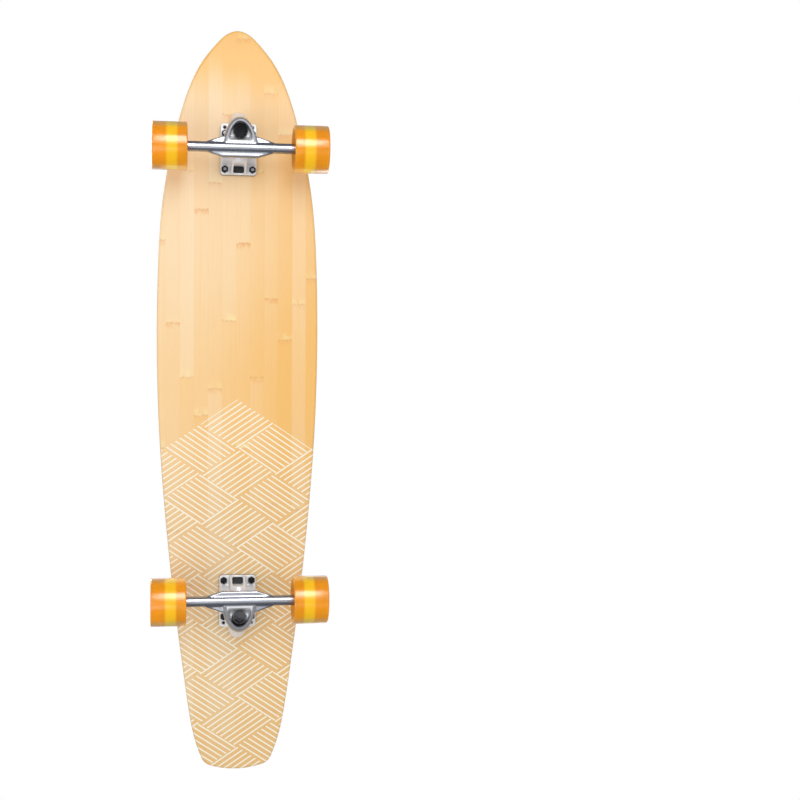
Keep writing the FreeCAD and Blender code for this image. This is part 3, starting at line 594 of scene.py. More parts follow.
@dataclass(frozen=True)
class HangerFinish(WornMetal):
    """Polished hanger metal whose arched yoke is rougher and less metallic, with painted light inside it and
    a painted dark reflection along its rim.
    """
    # Colour of the painted light inside the yoke, then of the painted dark reflection along its rim.
    cast: Colour = srgb(236, 237, 240)
    painted_rim_reflection: Colour = srgb(134, 136, 142)
    cast_roughness: float = 0.42
    cast_metallic: float = 0.2
    between_axles: float = 36.75 * MM
    half_wheelbase: float = 331.75 * MM
    yoke_length: float = 43.0 * MM
    yoke_half_width: float = 24.0 * MM
    rim_inside: Range = (0.78, 0.84)
    rim_outside: Range = (1.02, 1.08)
    foot: Range = (6.5 * MM, 8.0 * MM)

    def yoke_masks(self, graph: Graph, point: Socket) -> tuple[Socket, Socket]:
        """Masks of the yoke, a half oval outboard of the axle tube on both trucks alike, and of its rim:
        painted light and a painted dark reflection.

        Args:
            graph: the material's graph.
            point: the surface point.

        Returns:
            The yoke's mask and its rim's.
        """
        x, y, z = graph.parts(point)
        from_middle = graph.math("ABSOLUTE", graph.minus(x, self.between_axles))
        outboard = graph.minus(from_middle, self.half_wheelbase)
        along = graph.math("POWER", graph.over(outboard, self.yoke_length), 2.0)
        across = graph.math("POWER", graph.over(y, self.yoke_half_width), 2.0)
        reach = graph.math("SQRT", graph.plus(along, across))
        yoke = graph.times(graph.fade(reach, *self.rim_outside), graph.spread(outboard, *self.foot))
        return yoke, graph.times(yoke, graph.spread(reach, *self.rim_inside))

    def make(self) -> Material:
        """Build the material."""
        material, graph, shader = new_material(self.name)
        point = graph.place()
        tint, dulled, _ = self.worn(graph, shader, point)
        yoke, painted_rim_reflection = self.yoke_masks(graph, point)
        # Painted light over the yoke, then a painted dark reflection along its rim.
        graph.feed(shader.inputs["Base Color"], graph.mix(painted_rim_reflection, graph.mix(yoke, tint, self.cast), self.painted_rim_reflection))
        step = graph.minus(self.cast_roughness, dulled)
        graph.feed(shader.inputs["Roughness"], graph.weighted(yoke, step, dulled))
        metal = graph.weighted(yoke, self.cast_metallic - self.metallic, self.metallic)
        graph.feed(shader.inputs["Metallic"], metal)
        return material


@dataclass(frozen=True)
class MouldedUrethane:
    """What the urethane finishes share: faint flow marks and uneven gloss."""
    name: str
    colour: Colour
    shade: Colour
    roughness: float
    flow_scale: float = 500.0
    flow_range: Range = (0.3, 0.7)
    gloss_range: Range = (0.3, 0.7)
    gloss_swing: Range = (0.8, 1.25)
    mark_height: float = 0.02 * MM
    mark_strength: float = 0.4

    def moulded(self, graph: Graph, shader: Node, point: Socket) -> tuple[Socket, Socket]:
        """Give a shader the uneven gloss, and work out how the flow marks change colour.

        Args:
            graph: the material's graph.
            shader: its Principled node.
            point: the surface point.

        Returns:
            The colour and the fine grain.
        """
        wear = graph.use(WEAR, Vector=point, Scale=self.flow_scale)
        grain = wear.outputs["Grain"]
        gloss = graph.spread(grain, *self.gloss_range, *(self.roughness * part for part in self.gloss_swing))
        graph.feed(shader.inputs["Roughness"], gloss)
        tint = graph.mix(graph.spread(wear.outputs["Smudge"], *self.flow_range), self.colour, self.shade)
        return tint, grain


@dataclass(frozen=True)
class UrethaneFinish(MouldedUrethane):
    """Moulded opaque urethane."""

    def make(self) -> Material:
        """Build the material."""
        material, graph, shader = new_material(self.name)
        tint, grain = self.moulded(graph, shader, graph.place())
        graph.feed(shader.inputs["Base Color"], tint)
        add_bump(graph, shader, grain, self.mark_strength, self.mark_height)
        return material


@dataclass(frozen=True)
class TreadFinish(MouldedUrethane):
    """Clear amber urethane, paler over the hard core that shows through it, with fine turning marks."""
    over_core: Colour = srgb(255, 220, 26)
    shadow: Colour = srgb(236, 166, 66)
    clear: float = 0.32
    ior: float = 1.2
    coat: float = 1.0
    coat_roughness: float = 0.18
    coat_ior: float = 1.5
    wheel_middle: float = 103.0 * MM
    core_span: Range = (-10.8 * MM, 4.8 * MM)
    core_blur: float = 2.2 * MM
    turning_marks: float = 2600.0

    def make(self) -> Material:
        """Build the material."""
        material, graph, shader = new_material(self.name)
        point = graph.place()
        x, y, z = graph.parts(point)
        tint, _ = self.moulded(graph, shader, point)
        outboard = graph.minus(graph.math("ABSOLUTE", y), self.wheel_middle)
        near, far = self.core_span
        past_near = graph.spread(outboard, near - self.core_blur, near + self.core_blur)
        before_far = graph.fade(outboard, far - self.core_blur, far + self.core_blur)
        tint = graph.mix(graph.times(past_near, before_far), tint, self.over_core)
        graph.feed(shader.inputs["Base Color"], tint)
        set_plain(shader, Transmission_Weight=self.clear, IOR=self.ior, Coat_Weight=self.coat,
                  Coat_Roughness=self.coat_roughness, Coat_IOR=self.coat_ior)
        marks = graph.noise(graph.joined(0.0, y), self.turning_marks)
        add_bump(graph, shader, marks, self.mark_strength, self.mark_height)
        shadow_rays = graph.node("ShaderNodeLightPath").outputs["Is Shadow Ray"]
        let_through(material, graph, shader, shadow_rays, self.shadow)
        return material


@dataclass(frozen=True)
class BambooFinish:
    """Clear-coated bamboo strips, with white printed hatching on the tail half if asked for."""
    name: str
    printed: bool
    pale: Colour = srgb(254, 226, 184)
    honey: Colour = srgb(249, 194, 110)
    brown: Colour = srgb(206, 136, 66)
    orange: Colour = srgb(238, 168, 96)
    bloom: Colour = srgb(254, 230, 168)
    tan: Colour = srgb(222, 194, 150)
    ink: Colour = srgb(255, 247, 226)
    strip_width: float = 21.0 * MM
    knuckle_pitch: float = 310.0 * MM
    cell: float = 62.0 * MM
    cell_slant: float = math.radians(34)
    line_pitch: float = 7.4 * MM
    line_width: float = 2.0 * MM
    line_blur: float = 0.15 * MM
    print_end: float = -30.0 * MM
    print_fade: float = 160.0 * MM
    facing_down: float = -0.5
    tone_share: float = 0.5
    drift_share: float = 0.2
    drift_scale: Factors = (1.5, 5.0, 1.0)
    nose_warmth: Span = (0.43, 0.55, 0.0, 0.86)
    middle_warmth: Span = (0.0, 0.25, 0.24, 0.0)
    # Painted shade at the tail end, where the tail turns up: warmer and darker there.
    tail_painted_shade: Span = (-0.56, -0.44, 0.4, 0.0)
    side_warmth: Span = (-0.06, 0.09, 0.0, 0.42)
    warm_range: Range = (0.1, 1.1)
    stain: Span = (-0.22, 0.0, 0.5, 0.0)
    streaks: Span = (0.5, 0.85, 0.0, 0.35)
    fibres: Span = (0.52, 0.8, 0.0, 0.18)
    seam_share: float = 0.04
    cloud_share: float = 0.75
    bloom_share: float = 0.8
    scar_share: float = 0.45
    roughness: Span = (0.3, 0.8, 0.42, 0.56)
    specular: float = 0.3
    coat: float = 0.12
    coat_roughness: float = 0.25
    fibre_height: float = 0.04 * MM
    fibre_strength: float = 0.35

    def hatching(self, graph: Graph, point: Socket) -> Socket:
        """Mask of white lines: slanted cells hatched one way or the other, thinning out towards mid-deck.

        Args:
            graph: the material's graph.
            point: the surface point.

        Returns:
            The mask.
        """
        x, y, z = graph.parts(point)
        lean_x = graph.times(x, math.cos(self.cell_slant))
        lean_y = graph.times(y, math.sin(self.cell_slant))
        one = graph.plus(lean_x, lean_y)
        other = graph.minus(lean_x, lean_y)
        cell_one = graph.math("FLOOR", graph.over(one, self.cell))
        cell_other = graph.math("FLOOR", graph.over(other, self.cell))
        row = graph.plus(cell_one, cell_other)
        turn = graph.math("PINGPONG", row, 1.0)
        lane = graph.plus(graph.times(one, turn), graph.times(other, graph.minus(1.0, turn)))
        from_line = graph.math("PINGPONG", lane, self.line_pitch / 2)
        half = self.line_width / 2
        line = graph.fade(from_line, half - self.line_blur, half + self.line_blur)
        row_x = graph.times(row, self.cell / (2 * math.cos(self.cell_slant)))
        share = graph.over(graph.minus(self.print_end, row_x), self.print_fade)
        kept = graph.math("LESS_THAN", graph.chance(graph.joined(cell_one, cell_other)), share)
        facing = graph.parts(graph.node("ShaderNodeNewGeometry").outputs["True Normal"])
        under = graph.math("LESS_THAN", facing[2], self.facing_down)
        return graph.times(graph.times(line, kept), under)

    def make(self) -> Material:
        """Build the material."""
        material, graph, shader = new_material(self.name)
        point = graph.place()
        x, y, z = graph.parts(point)
        figure = graph.use(BAMBOO, Vector=point, **{"Strip Width": self.strip_width,
                                                    "Knuckle Pitch": self.knuckle_pitch}).outputs
        drift = graph.noise(graph.scaled(point, self.drift_scale))
        warm = graph.weighted(figure["Tone"], self.tone_share, graph.times(drift, self.drift_share))
        # Warmer tone towards the nose, mid-deck and one side, and painted shade at the tail end.
        for place, span in ((x, self.nose_warmth), (x, self.middle_warmth), (x, self.tail_painted_shade),
                            (y, self.side_warmth)):
            warm = graph.plus(warm, graph.spread(place, *span))
        colour = graph.mix(graph.spread(warm, *self.warm_range), self.pale, self.honey)
        colour = graph.mix(graph.spread(figure["Streak"], *self.streaks), colour, self.honey)
        colour = graph.mix(graph.spread(figure["Fibre"], *self.fibres), colour, self.brown)
        for name, share, tint in (("Seam", self.seam_share, self.brown),
                                  ("Cloud", self.cloud_share, self.orange),
                                  ("Bloom", self.bloom_share, self.bloom),
                                  ("Scar", self.scar_share, self.brown)):
            colour = graph.mix(graph.times(figure[name], share), colour, tint)
        if self.printed:
            colour = graph.mix(graph.spread(x, *self.stain), colour, self.tan)
            colour = graph.mix(self.hatching(graph, point), colour, self.ink)
        graph.feed(shader.inputs["Base Color"], colour)
        graph.feed(shader.inputs["Roughness"], graph.spread(figure["Fibre"], *self.roughness))
        set_plain(shader, Specular_IOR_Level=self.specular, Coat_Weight=self.coat,
                  Coat_Roughness=self.coat_roughness)
        add_bump(graph, shader, figure["Fibre"], self.fibre_strength, self.fibre_height)
        return material


@dataclass(frozen=True)
class CorePlyFinish:
    """Pressed veneers seen edge on, following the upturned ends of the deck."""
    name: str
    pale: Colour
    dark: Colour
    plies: int = 6
    nose_bend: float = 120.0 * MM
    nose_rise: float = 12.0 * MM
    tail_bend: float = 160.0 * MM
    tail_rise: float = 13.0 * MM
    ply_tones: Span = (0.0, 1.0, 0.0, 0.7)
    glue_range: Range = (0.42, 0.5)
    glue_share: float = 0.6
    pore_scale: Factors = (900.0, 900.0, 260.0)
    pore_tones: Span = (0.5, 0.8, 0.0, 0.5)
    roughness: Span = (0.3, 0.8, 0.45, 0.65)
    pore_height: float = 0.05 * MM
    pore_strength: float = 0.4

    def make(self) -> Material:
        """Build the material."""
        low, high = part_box("deck_core")
        thickness = high.z - low.z - max(self.nose_rise, self.tail_rise)
        material, graph, shader = new_material(self.name)
        point = graph.place()
        x, y, z = graph.parts(point)
        lifts = []
        for past, rise, bend in ((graph.minus(x, high.x - self.nose_bend), self.nose_rise, self.nose_bend),
                                 (graph.minus(low.x + self.tail_bend, x), self.tail_rise, self.tail_bend)):
            squared = graph.math("POWER", graph.math("MAXIMUM", past, 0.0), 2.0)
            lifts.append(graph.times(squared, rise / bend ** 2))
        height = graph.minus(graph.minus(z, graph.plus(*lifts)), low.z)
        layer = graph.over(height, thickness / self.plies)
        tone = graph.chance(graph.joined(graph.math("FLOOR", layer), 1.0))
        glue = graph.spread(graph.off_middle(layer), *self.glue_range)
        pores = graph.noise(graph.scaled(point, self.pore_scale), detail=3.0)
        colour = graph.mix(graph.spread(tone, *self.ply_tones), self.pale, self.dark)
        colour = graph.mix(graph.spread(pores, *self.pore_tones), colour, self.dark)
        colour = graph.mix(graph.times(glue, self.glue_share), colour, self.dark)
        graph.feed(shader.inputs["Base Color"], colour)
        graph.feed(shader.inputs["Roughness"], graph.spread(pores, *self.roughness))
        add_bump(graph, shader, pores, self.pore_strength, self.pore_height)
        return material


@dataclass(frozen=True)
class GripFinish:
    """Dark abrasive sheet: packed grit with a few grains that catch the light."""
    name: str
    colour: Colour
    grain: Colour
    spark: Colour
    grit_size: float = 0.55 * MM
    grain_scale: float = 400.0
    grain_range: Range = (0.35, 0.7)
    spark_range: Range = (0.93, 0.99)
    roughness: Span = (0.9, 0.99, 0.88, 0.4)
    specular: float = 0.35
    grit_height: float = 0.25 * MM
    grit_strength: float = 0.7

    def make(self) -> Material:
        """Build the material."""
        material, graph, shader = new_material(self.name)
        point = graph.place()
        cells = graph.node("ShaderNodeTexVoronoi")
        graph.feed(cells.inputs["Vector"], point)
        set_plain(cells, Scale=1 / self.grit_size)
        pick = graph.parts(cells.outputs["Color"])[0]
        wear = graph.use(WEAR, Vector=point, Scale=self.grain_scale)
        colour = graph.mix(graph.spread(wear.outputs["Grain"], *self.grain_range), self.colour, self.grain)
        colour = graph.mix(graph.spread(pick, *self.spark_range), colour, self.spark)
        graph.feed(shader.inputs["Base Color"], colour)
        graph.feed(shader.inputs["Roughness"], graph.spread(pick, *self.roughness))
        set_plain(shader, Specular_IOR_Level=self.specular)
        height = graph.minus(1.0, cells.outputs["Distance"])
        add_bump(graph, shader, height, self.grit_strength, self.grit_height)
        return material


class Finishes:
    """Every finish of the longboard, made once and kept by name."""

    def __init__(self) -> None:
        """Build the materials."""
        zinc = srgb(208, 210, 214), srgb(178, 181, 186), 0.24
        recipes = {
            "underside": BambooFinish("underside_bamboo", printed=True),
            "bamboo": BambooFinish("top_bamboo", printed=False),
            "core_plies": CorePlyFinish("core_plies", srgb(240, 205, 152), srgb(176, 122, 70)),
            "grip": GripFinish("grip_grit", srgb(11, 11, 15), srgb(24, 23, 31), srgb(120, 120, 132)),
            "cast_aluminium": MetalFinish("cast_aluminium", srgb(246, 246, 248), srgb(234, 235, 238), 0.45,
                                          metallic=0.2, grain_scale=700.0, grain_height=0.05 * MM),
            "polished_aluminium": HangerFinish("polished_aluminium", srgb(174, 176, 182),
                                               srgb(158, 161, 168), 0.3),
            "steel": MetalFinish("zinc_steel", *zinc),
            "bright_bolts": MetalFinish("bright_bolts", *zinc, colour_below=srgb(96, 97, 102)),
            "black_steel": MetalFinish("black_steel", srgb(26, 26, 29), srgb(44, 43, 46), 0.4, metallic=0.7),
            "bearing_steel": MetalFinish("bearing_steel", srgb(196, 198, 202), srgb(168, 170, 176), 0.18),
            "cage_brass": MetalFinish("cage_brass", srgb(212, 172, 92), srgb(176, 132, 60), 0.3),
            "black_urethane": UrethaneFinish("black_urethane", srgb(26, 24, 25), srgb(40, 37, 38), 0.5),
            "amber_urethane": TreadFinish("amber_urethane", srgb(247, 180, 4), srgb(240, 168, 0), 0.2),
            "yellow_core": UrethaneFinish("yellow_core", srgb(254, 232, 140), srgb(252, 222, 118), 0.35),
        }
        self.materials = {name: recipe.make() for name, recipe in recipes.items()}

    def dress(self, piece: Piece, finish: str) -> None:
        """Give a whole piece one finish and report it.

        Args:
            piece: the piece.
            finish: the finish's name.
        """
        piece.data.materials.clear()
        piece.data.materials.append(self.materials[finish])
        LOG.info("%s has %s", piece.name, finish)

    def dress_nodes(self, prefix: str, plan: Sequence[tuple[str, str]]) -> None:
        """Give frame nodes their finishes.

        Args:
            prefix: start of the nodes' names.
            plan: rest of each node's name, and its finish.
        """
        for node, finish in plan:
            self.dress(frame["nodes"][prefix + node], finish)


def add_to_scene(name: str, data: bpy.types.ID) -> Piece:
    """Add an object to the scene.

    Args:
        name: the object's name.
        data: its mesh, lamp or camera.

    Returns:
        The object.
    """
    made = bpy.data.objects.new(name, data)
    bpy.context.scene.collection.objects.link(made)
    return made


class Bench:
    """Modelling steps by operators on one piece at a time."""

    @staticmethod
    def clear() -> None:
        """Select nothing."""
        for item in bpy.context.view_layer.objects:
            item.select_set(False)

    @staticmethod
    def take(piece: Piece) -> None:
        """Select only this piece."""
        Bench.clear()
        piece.select_set(True)
        bpy.context.view_layer.objects.active = piece

    @staticmethod
    def edit(piece: Piece, part: Part) -> None:
        """Open a piece for editing with nothing selected.

        Args:
            piece: the piece.
            part: what will be selected on it.
        """
        Bench.take(piece)
        bpy.ops.object.mode_set(mode="EDIT")
        bpy.ops.mesh.select_mode(type=part.name)
        bpy.ops.mesh.select_all(action="DESELECT")

    @staticmethod
    def close() -> None:
        """Leave edit mode."""
        bpy.ops.object.mode_set(mode="OBJECT")

    @staticmethod
    def pick(piece: Piece, part: Part, test: Callable[[Element], bool]) -> None:
        """Select what passes a test on the open piece.

        Args:
            piece: the open piece.
            part: whether its faces or its edges are tested.
            test: true for those to select.
        """
        mesh = bmesh.from_edit_mesh(piece.data)
        for item in getattr(mesh, part.value):
            item.select_set(test(item))
        mesh.select_flush_mode()
        bmesh.update_edit_mesh(piece.data)

    @staticmethod
    def finish_with(piece: Piece, kind: str, **settings: object) -> None:
        """Add a modifier, set it and apply it.

        Args:
            piece: the piece.
            kind: the modifier's type.
            settings: its properties.
        """
        Bench.take(piece)
        modifier = piece.modifiers.new(kind.lower(), kind)
        for key, value in settings.items():
            setattr(modifier, key, value)
        bpy.ops.object.modifier_apply(modifier=modifier.name)

    @staticmethod
    def turn_out() -> None:
        """Turn every face of the open piece outwards."""
        bpy.ops.mesh.select_all(action="SELECT")
        bpy.ops.mesh.normals_make_consistent(inside=False)

    @staticmethod
    def smooth(piece: Piece, angle: float) -> None:
        """Shade a piece smooth up to an angle in degrees."""
        Bench.take(piece)
        bpy.ops.object.shade_smooth_by_angle(angle=math.radians(angle))

    @staticmethod
    def copy(piece: Piece, name: str, move: Matrix) -> Piece:
        """Copy a piece with its own mesh.

        Args:
            piece: the piece.
            name: the copy's name.
            move: how the copy's mesh is moved.

        Returns:
            The copy.
        """
        mesh = piece.data.copy()
        mesh.transform(move)
        return add_to_scene(name, mesh)

    @staticmethod
    def node_copy(node: str, name: str, merge: float = 0.002 * MM) -> Piece:
        """Copy a frame node as a new piece, its loose triangles merged into one skin.

        Args:
            node: the node's name.
            name: the copy's name.
            merge: corners closer than this become one.

        Returns:
            The copy.
        """
        made = add_to_scene(name, frame["nodes"][node].data.copy())
        Bench.edit(made, Part.VERT)
        bpy.ops.mesh.select_all(action="SELECT")
        bpy.ops.mesh.customdata_custom_splitnormals_clear()
        bpy.ops.mesh.remove_doubles(threshold=merge)
        Bench.close()
        return made

    @staticmethod
    def bar(name: str, radius: float, length: float, sides: int) -> Piece:
        """Round bar along Z about the origin, to be shaped further.

        Args:
            name: the bar's name.
            radius: its radius.
            length: its length.
            sides: how many flats make it round.

        Returns:
            The bar.
        """
        Bench.clear()
        bpy.ops.mesh.primitive_cylinder_add(vertices=sides, radius=radius, depth=length)
        made = bpy.context.object
        made.name = name
        return made


def faces_up(face: bmesh.types.BMFace) -> bool:
    """True for a face square to Z that looks up."""
    return face.normal.z > SQUARE_ON


def faces_down(face: bmesh.types.BMFace) -> bool:
    """True for a face square to Z that looks down."""
    return face.normal.z < -SQUARE_ON


def is_end_face(face: bmesh.types.BMFace) -> bool:
    """True for a face square to Z."""
    return faces_up(face) or faces_down(face)


def on_ring(edge: bmesh.types.BMEdge, radius: float, height: float, slack: float = 0.05 * MM) -> bool:
    """Whether an edge lies on a circle about Z.

    Args:
        edge: the edge.
        radius: the circle's radius.
        height: its height, above or below the origin.
        slack: how far off the edge's ends may be.

    Returns:
        True if both its ends are on the circle.
    """
    for corner in edge.verts:
        if abs(corner.co.xy.length - radius) > slack or abs(abs(corner.co.z) - height) > slack:
            return False
    return True


@dataclass
class TyreMould:
    """Clear tread of a wheel, modelled once along Z and copied to each wheel."""
    radius: float
    width: float
    edge_radius: float = 1.8 * MM
    edge_steps: int = 6
    lip_width: float = 2.6 * MM
    lip_rounding: float = 0.9 * MM
    lip_steps: int = 4
    floor_radius: float = 17.0 * MM
    floor_height: float = 11.75 * MM
    inner_radius: float = 12.6 * MM
    sides: int = 160
    smooth_angle: float = 50.0

    def build(self) -> Piece:
        """Model the tread: a bar with a dished face each side, hollow round the core."""
        half = self.width / 2
        lip = self.radius - self.edge_radius - self.lip_width
        tread = Bench.bar("tread_mould", self.radius, self.width, self.sides)
        Bench.edit(tread, Part.FACE)
        Bench.pick(tread, Part.FACE, is_end_face)
        bpy.ops.mesh.inset(thickness=self.radius - lip)
        bpy.ops.mesh.inset(thickness=lip - self.floor_radius, depth=self.floor_height - half)
        bpy.ops.mesh.inset(thickness=self.floor_radius - self.inner_radius)
        bpy.ops.mesh.bridge_edge_loops()
        bpy.ops.mesh.select_mode(type="EDGE")
        Bench.pick(tread, Part.EDGE, lambda edge: on_ring(edge, self.radius, half))
        bpy.ops.mesh.bevel(offset=self.edge_radius, segments=self.edge_steps, affect="EDGES")
        Bench.pick(tread, Part.EDGE, lambda edge: on_ring(edge, lip, half))
        bpy.ops.mesh.bevel(offset=self.lip_rounding, segments=self.lip_steps, affect="EDGES")
        Bench.turn_out()
        Bench.close()
        Bench.smooth(tread, self.smooth_angle)
        return tread


@dataclass
class Wheel:
    """One wheel: its clear tread, core and bearings."""
    end: End
    side: Side

    @property
    def prefix(self) -> str:
        """Start of the wheel's node names."""
        return f"{self.end.value}_{self.side.value}_"

    def build_tread(self, mould: Piece) -> Piece:
        """Copy the tread to this wheel's place and let it stand for the node.

        Args:
            mould: the tread that is copied.

        Returns:
            The wheel's tread.
        """
        low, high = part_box(self.prefix + "tyre")
        move = Matrix.Translation((low + high) / 2) @ Matrix.Rotation(math.pi / 2, 4, "X")
        tread = Bench.copy(mould, self.prefix + "tread", move)
        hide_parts(self.prefix + "tyre")
        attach(tread, self.prefix + "wheel")
        return tread

    def dress(self, finishes: Finishes, tread: Piece) -> None:
        """Give the wheel's pieces their finishes.

        Args:
            finishes: all finishes.
            tread: the wheel's tread.
        """
        finishes.dress(tread, "amber_urethane")
        finishes.dress_nodes(self.prefix, (
            ("wheel_core", "yellow_core"), ("outer_races", "bearing_steel"),
            ("bearing_shields", "black_steel"), ("bearing_balls", "bearing_steel"),
            ("ball_cages", "cage_brass")))


@dataclass
class CastPiece:
    """Cast aluminium piece: the frame's node with its inner corners filled and its edges softened."""
    node: str
    body: str
    fillet: float
    voxel: float = 0.62 * MM
    passes: int = 7
    share: float = 0.5

    def build(self) -> Piece:
        """Model the softened casting."""
        cast = Bench.node_copy(self.node, self.node + "_cast")
        Bench.finish_with(cast, "REMESH", mode="VOXEL", voxel_size=self.voxel)
        for swell in (self.fillet, -self.fillet):
            Bench.finish_with(cast, "DISPLACE", strength=swell, mid_level=0.0)
            Bench.finish_with(cast, "REMESH", mode="VOXEL", voxel_size=self.voxel)
        Bench.finish_with(cast, "SMOOTH", factor=self.share, iterations=self.passes)
        Bench.take(cast)
        bpy.ops.object.shade_smooth()
        return cast


@dataclass
class BushingMould:
    """Soft bushing along Z about its own middle: a sleeve with rounded edges and a slight belly."""
    name: str
    low_radius: float
    high_radius: float
    length: float
    bore: float = 5.2 * MM
    bore_slack: float = 0.2 * MM
    belly: float = 1.035
    rounding: float = 1.1 * MM
    rounding_steps: int = 4
    sides: int = 72
    smooth_angle: float = 60.0

    def closes_bore(self, face: bmesh.types.BMFace) -> bool:
        """True for an end face inside the bore."""
        reach = max(corner.co.xy.length for corner in face.verts)
        return is_end_face(face) and reach < self.bore + self.bore_slack

    def build(self) -> Piece:
        """Model the sleeve."""
        half = self.length / 2
        bush = Bench.bar(self.name, self.low_radius, self.length, self.sides)
        Bench.edit(bush, Part.FACE)
        Bench.pick(bush, Part.FACE, faces_up)
        scale = self.high_radius / self.low_radius
        bpy.ops.transform.resize(value=(scale, scale, 1.0), center_override=(0.0, 0.0, half))
        bpy.ops.mesh.select_all(action="SELECT")
        bpy.ops.mesh.bisect(plane_co=(0.0, 0.0, 0.0), plane_no=(0.0, 0.0, 1.0))
        bpy.ops.transform.resize(value=(self.belly, self.belly, 1.0), center_override=(0.0, 0.0, 0.0))
        Bench.pick(bush, Part.FACE, faces_up)
        bpy.ops.mesh.inset(thickness=self.high_radius - self.bore)
        Bench.pick(bush, Part.FACE, faces_down)
        bpy.ops.mesh.inset(thickness=self.low_radius - self.bore)
        Bench.pick(bush, Part.FACE, self.closes_bore)
        bpy.ops.mesh.bridge_edge_loops()
        bpy.ops.mesh.select_mode(type="EDGE")
        Bench.pick(bush, Part.EDGE, lambda edge: on_ring(edge, self.low_radius, half) or
                   on_ring(edge, self.high_radius, half))
        bpy.ops.mesh.bevel(offset=self.rounding, segments=self.rounding_steps, affect="EDGES")
        Bench.turn_out()
        Bench.close()
        Bench.smooth(bush, self.smooth_angle)
        return bush


@dataclass
class Truck:
    """One truck: castings, kingpin stack, axle hardware and deck bolts."""
    end: End
    lean: float = math.radians(22)
    boardside_radius: float = 12.0 * MM
    boardside_span: Range = (5.0 * MM, 18.4 * MM)
    roadside_wide: float = 10.2 * MM
    roadside_narrow: float = 8.2 * MM
    roadside_span: Range = (-14.0 * MM, -3.0 * MM)
    plate_fillet: float = 1.5 * MM
    hanger_fillet: float = 3.0 * MM

    @property
    def prefix(self) -> str:
        """Start of the truck's node names."""
        return self.end.value + "_"

    @property
    def outboard(self) -> float:
        """Direction of this end of the deck along X."""
        return 1.0 if self.end is End.FRONT else -1.0

    def yoke(self) -> Matrix:
        """Place of the yoke's middle, with Z up the kingpin."""
        joint = next(item for item in frame["joints"] if item["name"] == self.prefix + "steer")
        lean = Matrix.Rotation(self.outboard * self.lean, 4, "Y")
        return Matrix.Translation(Vector(joint["pos_m"])) @ lean

    def build_castings(self) -> list[Piece]:
        """Model the baseplate and the hanger, and let them stand for their nodes.

        Returns:
            The baseplate and the hanger.
        """
        pieces = []
        for name, body, fillet in (("baseplate", "deck", self.plate_fillet),
                                   ("hanger", self.prefix + "hanger", self.hanger_fillet)):
            cast = CastPiece(self.prefix + name, body, fillet)
            piece = cast.build()
            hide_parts(cast.node)
            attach(piece, cast.body)
            pieces.append(piece)
        return pieces

    def build_bushings(self) -> list[Piece]:
        """Model the two bushings, each set along the kingpin on its side of the hanger, and let them stand
        for their nodes.

        Returns:
            The board-side and the road-side bushing.
        """
        yoke = self.yoke()
        board_radii = self.boardside_radius, self.boardside_radius
        road_radii = self.roadside_narrow, self.roadside_wide
        pieces = []
        for name, (low, high), radii, deck_above in (
                ("boardside_bushing", self.boardside_span, board_radii, True),
                ("roadside_bushing", self.roadside_span, road_radii, False)):
            piece = BushingMould(self.prefix + name + "_moulded", *radii, high - low).build()
            piece.data.transform(yoke @ Matrix.Translation((0.0, 0.0, (low + high) / 2)))
            ends = [yoke @ Vector((0.0, 0.0, height)) for height in (low, high)]
            if deck_above:
                ends.reverse()
            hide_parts(self.prefix + name)
            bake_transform(piece)
            pieces.append(piece)
        return pieces

    def dress(self, finishes: Finishes, castings: list[Piece], bushings: list[Piece]) -> None:
        """Give the truck's pieces their finishes.

        Args:
            finishes: all finishes.
            castings: the baseplate and the hanger.
            bushings: the two bushings.
        """
        for piece, finish in zip(castings, ("cast_aluminium", "polished_aluminium")):
            finishes.dress(piece, finish)
        for piece in bushings:
            finishes.dress(piece, "black_urethane")
        bolts = "bright_bolts" if self.end is End.FRONT else "black_steel"
        finishes.dress_nodes(self.prefix, (
            ("riser_pad", "black_urethane"), ("pivot_cup", "black_urethane"), ("kingpin", "black_steel"),
            ("kingpin_nut", "black_steel"), ("cup_washers", "black_steel"), ("axle", "steel"),
            ("speed_washers", "steel"), ("inner_races", "bearing_steel"), ("bearing_spacers", "steel"),
            ("axle_nuts", "black_steel"), ("deck_bolts", bolts), ("deck_nuts", "black_steel")))


class Deck:
    """The pressed deck and its grip sheet."""

    def dress(self, finishes: Finishes) -> None:
        """Give the plies and the grip their finishes."""
        finishes.dress_nodes("", (("deck_bottom_ply", "underside"), ("deck_core", "core_plies"),
                                  ("deck_top_ply", "bamboo"), ("grip_tape", "grip")))


@dataclass(frozen=True)
class Lamp:
    """Soft oblong lamp, which lights the surfaces or only puts a shine on them."""
    name: str
    place: Vector
    width: float
    length: float
    power: float
    shine_only: bool = False

    def hang(self, aim: Vector) -> None:
        """Add the lamp.

        Args:
            aim: the point that it is turned to.
        """
        light = bpy.data.lights.new(self.name, "AREA")
        light.shape = "RECTANGLE"
        light.size = self.width
        light.size_y = self.length
        light.energy = self.power
        lamp = add_to_scene(self.name, light)
        lamp.location = self.place
        lamp.rotation_euler = (aim - self.place).to_track_quat("-Z", "Y").to_euler()
        lamp.visible_diffuse = not self.shine_only
        LOG.info("lamp %s hung", self.name)


def turned(first: Vector, second: Vector, angle: float) -> tuple[Vector, Vector]:
    """Turn two square directions in their plane, the first towards the second.

    Args:
        first: one direction.
        second: the other one.
        angle: the turn in radians.

    Returns:
        The two new directions.
    """
    cos = math.cos(angle)
    sin = math.sin(angle)
    return first * cos + second * sin, second * cos - first * sin


